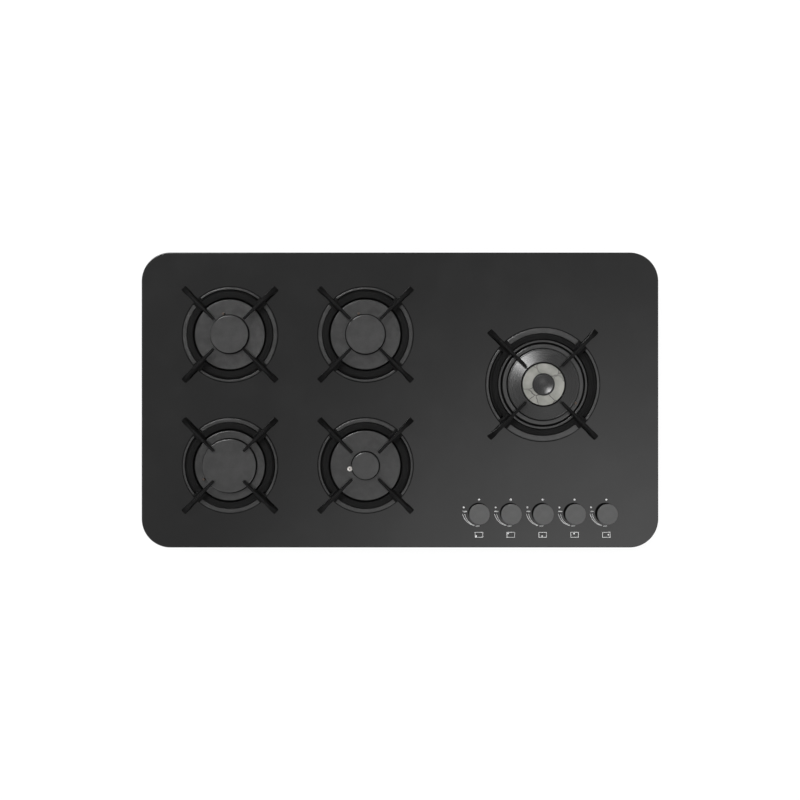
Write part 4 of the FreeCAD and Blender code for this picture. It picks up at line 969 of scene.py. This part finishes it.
# The print round a knob, from the knob's axis: dots and words by place, the wedge's lines by turn.
INK_HIGH = 0.05
DOTS = (((0.0, 24.4), 1.75), ((-26.5, 10.9), 1.6))
WEDGE_LINES = ((28.6, 22.3, 0.65), (24.6, 21.6, 0.55))
WEDGE_START = 181.0
WEDGE_TURN = 68.0
WEDGE_STEPS = 16
ICON_Y = -36.8
ICON_HALF = (7.0, 4.7)
ICON_LINE = 0.7
ICON_DOT_R = 1.3
ICON_MARKS = {"front_left": (-4.7, -2.2), "rear_left": (-4.7, 2.2), "front_centre": (-0.8, -2.2),
              "rear_centre": (-0.8, 2.0), "right": (3.6, 0.0)}
WORDS = (("HIGH", (-24.9, 3.9)), ("LOW", (-2.1, -21.6)))
LETTER_HEIGHT = 2.9


def ink_patch(shell, points):
    """A thin patch of ink on the glass."""
    add_prism(shell, [(x, y, above(0.0)) for x, y in points], [(x, y, above(INK_HIGH)) for x, y in points])


def ink_dot(shell, x, y, radius, count):
    """A round dot of ink."""
    ink_patch(shell, [(x + radius * math.cos(math.radians(t)), y + radius * math.sin(math.radians(t)))
                      for t in even_turns(count)])


def ink_band(shell, first, second, closed=False):
    """A printed line between two rows of points."""
    pairs = list(zip(first, second))
    if closed:
        pairs.append(pairs[0])
    for (a, b), (c, d) in zip(pairs, pairs[1:]):
        ink_patch(shell, [a, b, d, c])


def add_wedge(shell):
    """Two lines that close in on each other: the flame from large to small."""
    for start, end, width in WEDGE_LINES:
        first, second = [], []
        for step in range(WEDGE_STEPS + 1):
            turn = math.radians(WEDGE_START + WEDGE_TURN * step / WEDGE_STEPS)
            middle = start + (end - start) * (step / WEDGE_STEPS) ** 0.8
            first.append(((middle + width / 2) * math.cos(turn), (middle + width / 2) * math.sin(turn)))
            second.append(((middle - width / 2) * math.cos(turn), (middle - width / 2) * math.sin(turn)))
        ink_band(shell, first, second)


def add_icon(shell, mark):
    """The hob as a small frame, with a dot for this knob's burner."""
    sides = ((1, 1), (-1, 1), (-1, -1), (1, -1))
    half_long, half_high = ICON_HALF
    outer = [(x * half_long, y * half_high + ICON_Y) for x, y in sides]
    inner = [(x * (half_long - ICON_LINE), y * (half_high - ICON_LINE) + ICON_Y) for x, y in sides]
    ink_band(shell, outer, inner, closed=True)
    ink_dot(shell, mark[0], ICON_Y + mark[1], ICON_DOT_R, 16)


def make_word(name, word, x, at):
    """A printed word, centred on its place."""
    letters = bpy.data.curves.new("word_" + word, "FONT")
    letters.body = word
    letters.size = LETTER_HEIGHT * MM
    letters.extrude = INK_HIGH / 2 * MM
    letters.offset = 0.08 * MM
    letters.align_x = "CENTER"
    letters.align_y = "CENTER"
    written = bpy.data.objects.new("word", letters)
    bpy.context.scene.collection.objects.link(written)
    bpy.context.view_layer.update()
    mesh = bpy.data.meshes.new_from_object(written.evaluated_get(bpy.context.evaluated_depsgraph_get()))
    bpy.data.objects.remove(written)
    mesh.materials.clear()
    mesh.materials.append(FINISH["white_ink"])
    lettering = bpy.data.objects.new(f"word_{word.lower()}_{name}", mesh)
    bpy.context.scene.collection.objects.link(lettering)
    settle(lettering, (x + at[0], KNOB_Y + at[1]), "hob", "black_glass")
    lettering.location.z += above(INK_HIGH / 2) * MM


def make_prints(name, x):
    """White print round one knob: two dots, the tapering wedge of flame sizes, two words, the hob icon."""
    shell = bmesh.new()
    for at, radius in DOTS:
        ink_dot(shell, *at, radius, 20)
    add_wedge(shell)
    add_icon(shell, ICON_MARKS[name])
    prints = to_piece("prints_" + name, shell, FINISH["white_ink"])
    settle(prints, (x, KNOB_Y), "hob", "black_glass")
    for word, at in WORDS:
        make_word(name, word, x, at)


# ---------------------------------------------------------------- the whole hob

NODE_FINISH = {
    "base_tray": "galvanised_steel", "worktop_seal": "seal_rubber", "worktop_clamps": "zinc_steel",
    "fixing_screws": "zinc_steel", "bowl_gaskets": "seal_rubber", "burner_cups": "cast_aluminium",
    "injectors": "brass", "ignition_electrodes": "white_ceramic", "flame_sensors": "copper_steel",
    "spark_generator": "white_plastic", "ignition_leads": "lead_insulation", "gas_manifold": "painted_pipe",
    "gas_pipes": "painted_pipe", "inlet_elbow": "brass", "cable_gland": "black_plastic",
    "tap_bodies": "cast_aluminium", "ignition_switches": "white_plastic", "knob_seals": "seal_rubber",
    "flame_crown_right": "hub_aluminium",
}


def make_pieces():
    """Every piece that takes the place of a CAD node, and the print."""
    make_glass()
    for name, burner in BURNERS.items():
        make_bowl(name, burner)
        make_pan_support(name, burner)
        if name != "right":
            make_small_cap(name, burner)
    make_ring_cap(BURNERS["right"])
    make_dished_cap(BURNERS["right"])
    for n, name in enumerate(KNOB_ORDER):
        knob_x = FIRST_KNOB_X + KNOB_PITCH * n
        make_knob(name, knob_x)
        make_prints(name, knob_x)


def dress_cad_nodes():
    """Gives the CAD nodes that stay their finishes."""
    chosen = dict(NODE_FINISH)
    for name in BURNERS:
        chosen["spindle_" + name] = "zinc_steel"
        chosen["tap_plug_" + name] = "brass"
        chosen["pan_feet_" + name] = "seal_rubber"
        chosen.setdefault("flame_crown_" + name, "crown_aluminium")
    for node, slot in chosen.items():
        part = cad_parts[node]
        if not part.material_slots:
            part.data.materials.append(FINISH[slot])
        for place in part.material_slots:
            place.material = FINISH[slot]


# ---------------------------------------------------------------- camera, floor, light and backdrop

CAMERA_DISTANCE = 4.2
FRAME_WIDTH = 1.3936
SENSOR_WIDTH = 36.0


def make_camera():
    """Straight above the glass, as in the photograph."""
    camera = bpy.data.objects.new("camera", bpy.data.cameras.new("camera"))
    bpy.context.scene.collection.objects.link(camera)
    camera.location = (0.0, 0.0, GLASS_TOP * MM + CAMERA_DISTANCE)
    camera.data.sensor_width = SENSOR_WIDTH
    camera.data.lens = SENSOR_WIDTH * CAMERA_DISTANCE / FRAME_WIDTH
    bpy.context.scene.camera = camera


FLOOR_SIZE = 9000.0
FLOOR_GAP = 0.5


def make_floor():
    """A plain white floor that keeps the hob's shadow."""
    shell = bmesh.new()
    bmesh.ops.create_grid(shell, x_segments=8, y_segments=8, size=FLOOR_SIZE)
    finish = bpy.data.materials.new("studio_floor")
    finish.use_nodes = True
    tree = finish.node_tree
    tree.nodes.remove(tree.nodes["Principled BSDF"])
    matt = add(tree, "ShaderNodeBsdfDiffuse", {"Color": grey(0.86)})
    white = add(tree, "ShaderNodeEmission", {"Color": grey(1.0), "Strength": 1.05})
    rays = add(tree, "ShaderNodeLightPath").outputs
    seen = calc(tree, "MAXIMUM", rays["Is Camera Ray"],
                calc(tree, "MAXIMUM", rays["Is Glossy Ray"], rays["Is Transmission Ray"]))
    share = calc(tree, "MULTIPLY", seen, 0.85)
    both = add(tree, "ShaderNodeMixShader", {0: share})
    tree.links.new(matt.outputs[0], both.inputs[1])
    tree.links.new(white.outputs[0], both.inputs[2])
    tree.links.new(both.outputs[0], tree.nodes["Material Output"].inputs["Surface"])
    floor = to_piece("studio_floor", shell, finish)
    floor.location.z = -FLOOR_GAP * MM


# Soft boxes in the sky: direction, outer and inner half angle in degrees, strength.
SKY_BOXES = (
    ((0.102, -0.115, 1.0), 11.7, 0.0, 1.51),
    ((-0.182, 0.282, 1.0), 9.5, 2.5, 30.0),
    ((1.0, -1.0, 1.0), 24.0, 8.0, 3.0),
)


def make_daylight():
    """Soft studio surroundings: white low down, dimmer overhead, with the soft boxes."""
    world = bpy.data.worlds.new("studio")
    bpy.context.scene.world = world
    world.use_nodes = True
    tree = world.node_tree
    toward = add(tree, "ShaderNodeTexCoord").outputs["Generated"]
    height = height_of(tree, toward)
    level = spread(tree, height, 0.55, 0.97, 0.9, 0.58)
    for direction, outer, inner, strength in SKY_BOXES:
        aim = Vector(direction).normalized()
        along = add(tree, "ShaderNodeVectorMath", {0: toward, 1: aim}, operation="DOT_PRODUCT")
        away = calc(tree, "ARCCOSINE", along.outputs["Value"])
        glow = spread(tree, away, math.radians(inner), math.radians(outer), strength, 0.0)
        level = calc(tree, "ADD", level, glow)
    tree.links.new(level, tree.nodes["Background"].inputs["Strength"])
    tree.nodes["Background"].inputs["Color"].default_value = grey(1.0)


def add_soft_box(name, place, size, power):
    """A square lamp aimed at the hob."""
    lamp = bpy.data.lights.new(name, "AREA")
    lamp.shape = "SQUARE"
    lamp.size = size
    lamp.energy = power
    box = bpy.data.objects.new(name, lamp)
    bpy.context.scene.collection.objects.link(box)
    box.location = place
    box.rotation_euler = (Vector((0.0, 0.0, 0.05)) - Vector(place)).to_track_quat("-Z", "Y").to_euler()


make_camera()
make_pieces()
dress_cad_nodes()
make_floor()
make_daylight()
add_soft_box("front_left_soft_box", (-1.8, -2.4, 1.9), 1.2, 8.0)
bpy.context.scene.view_settings.view_transform = "Standard"
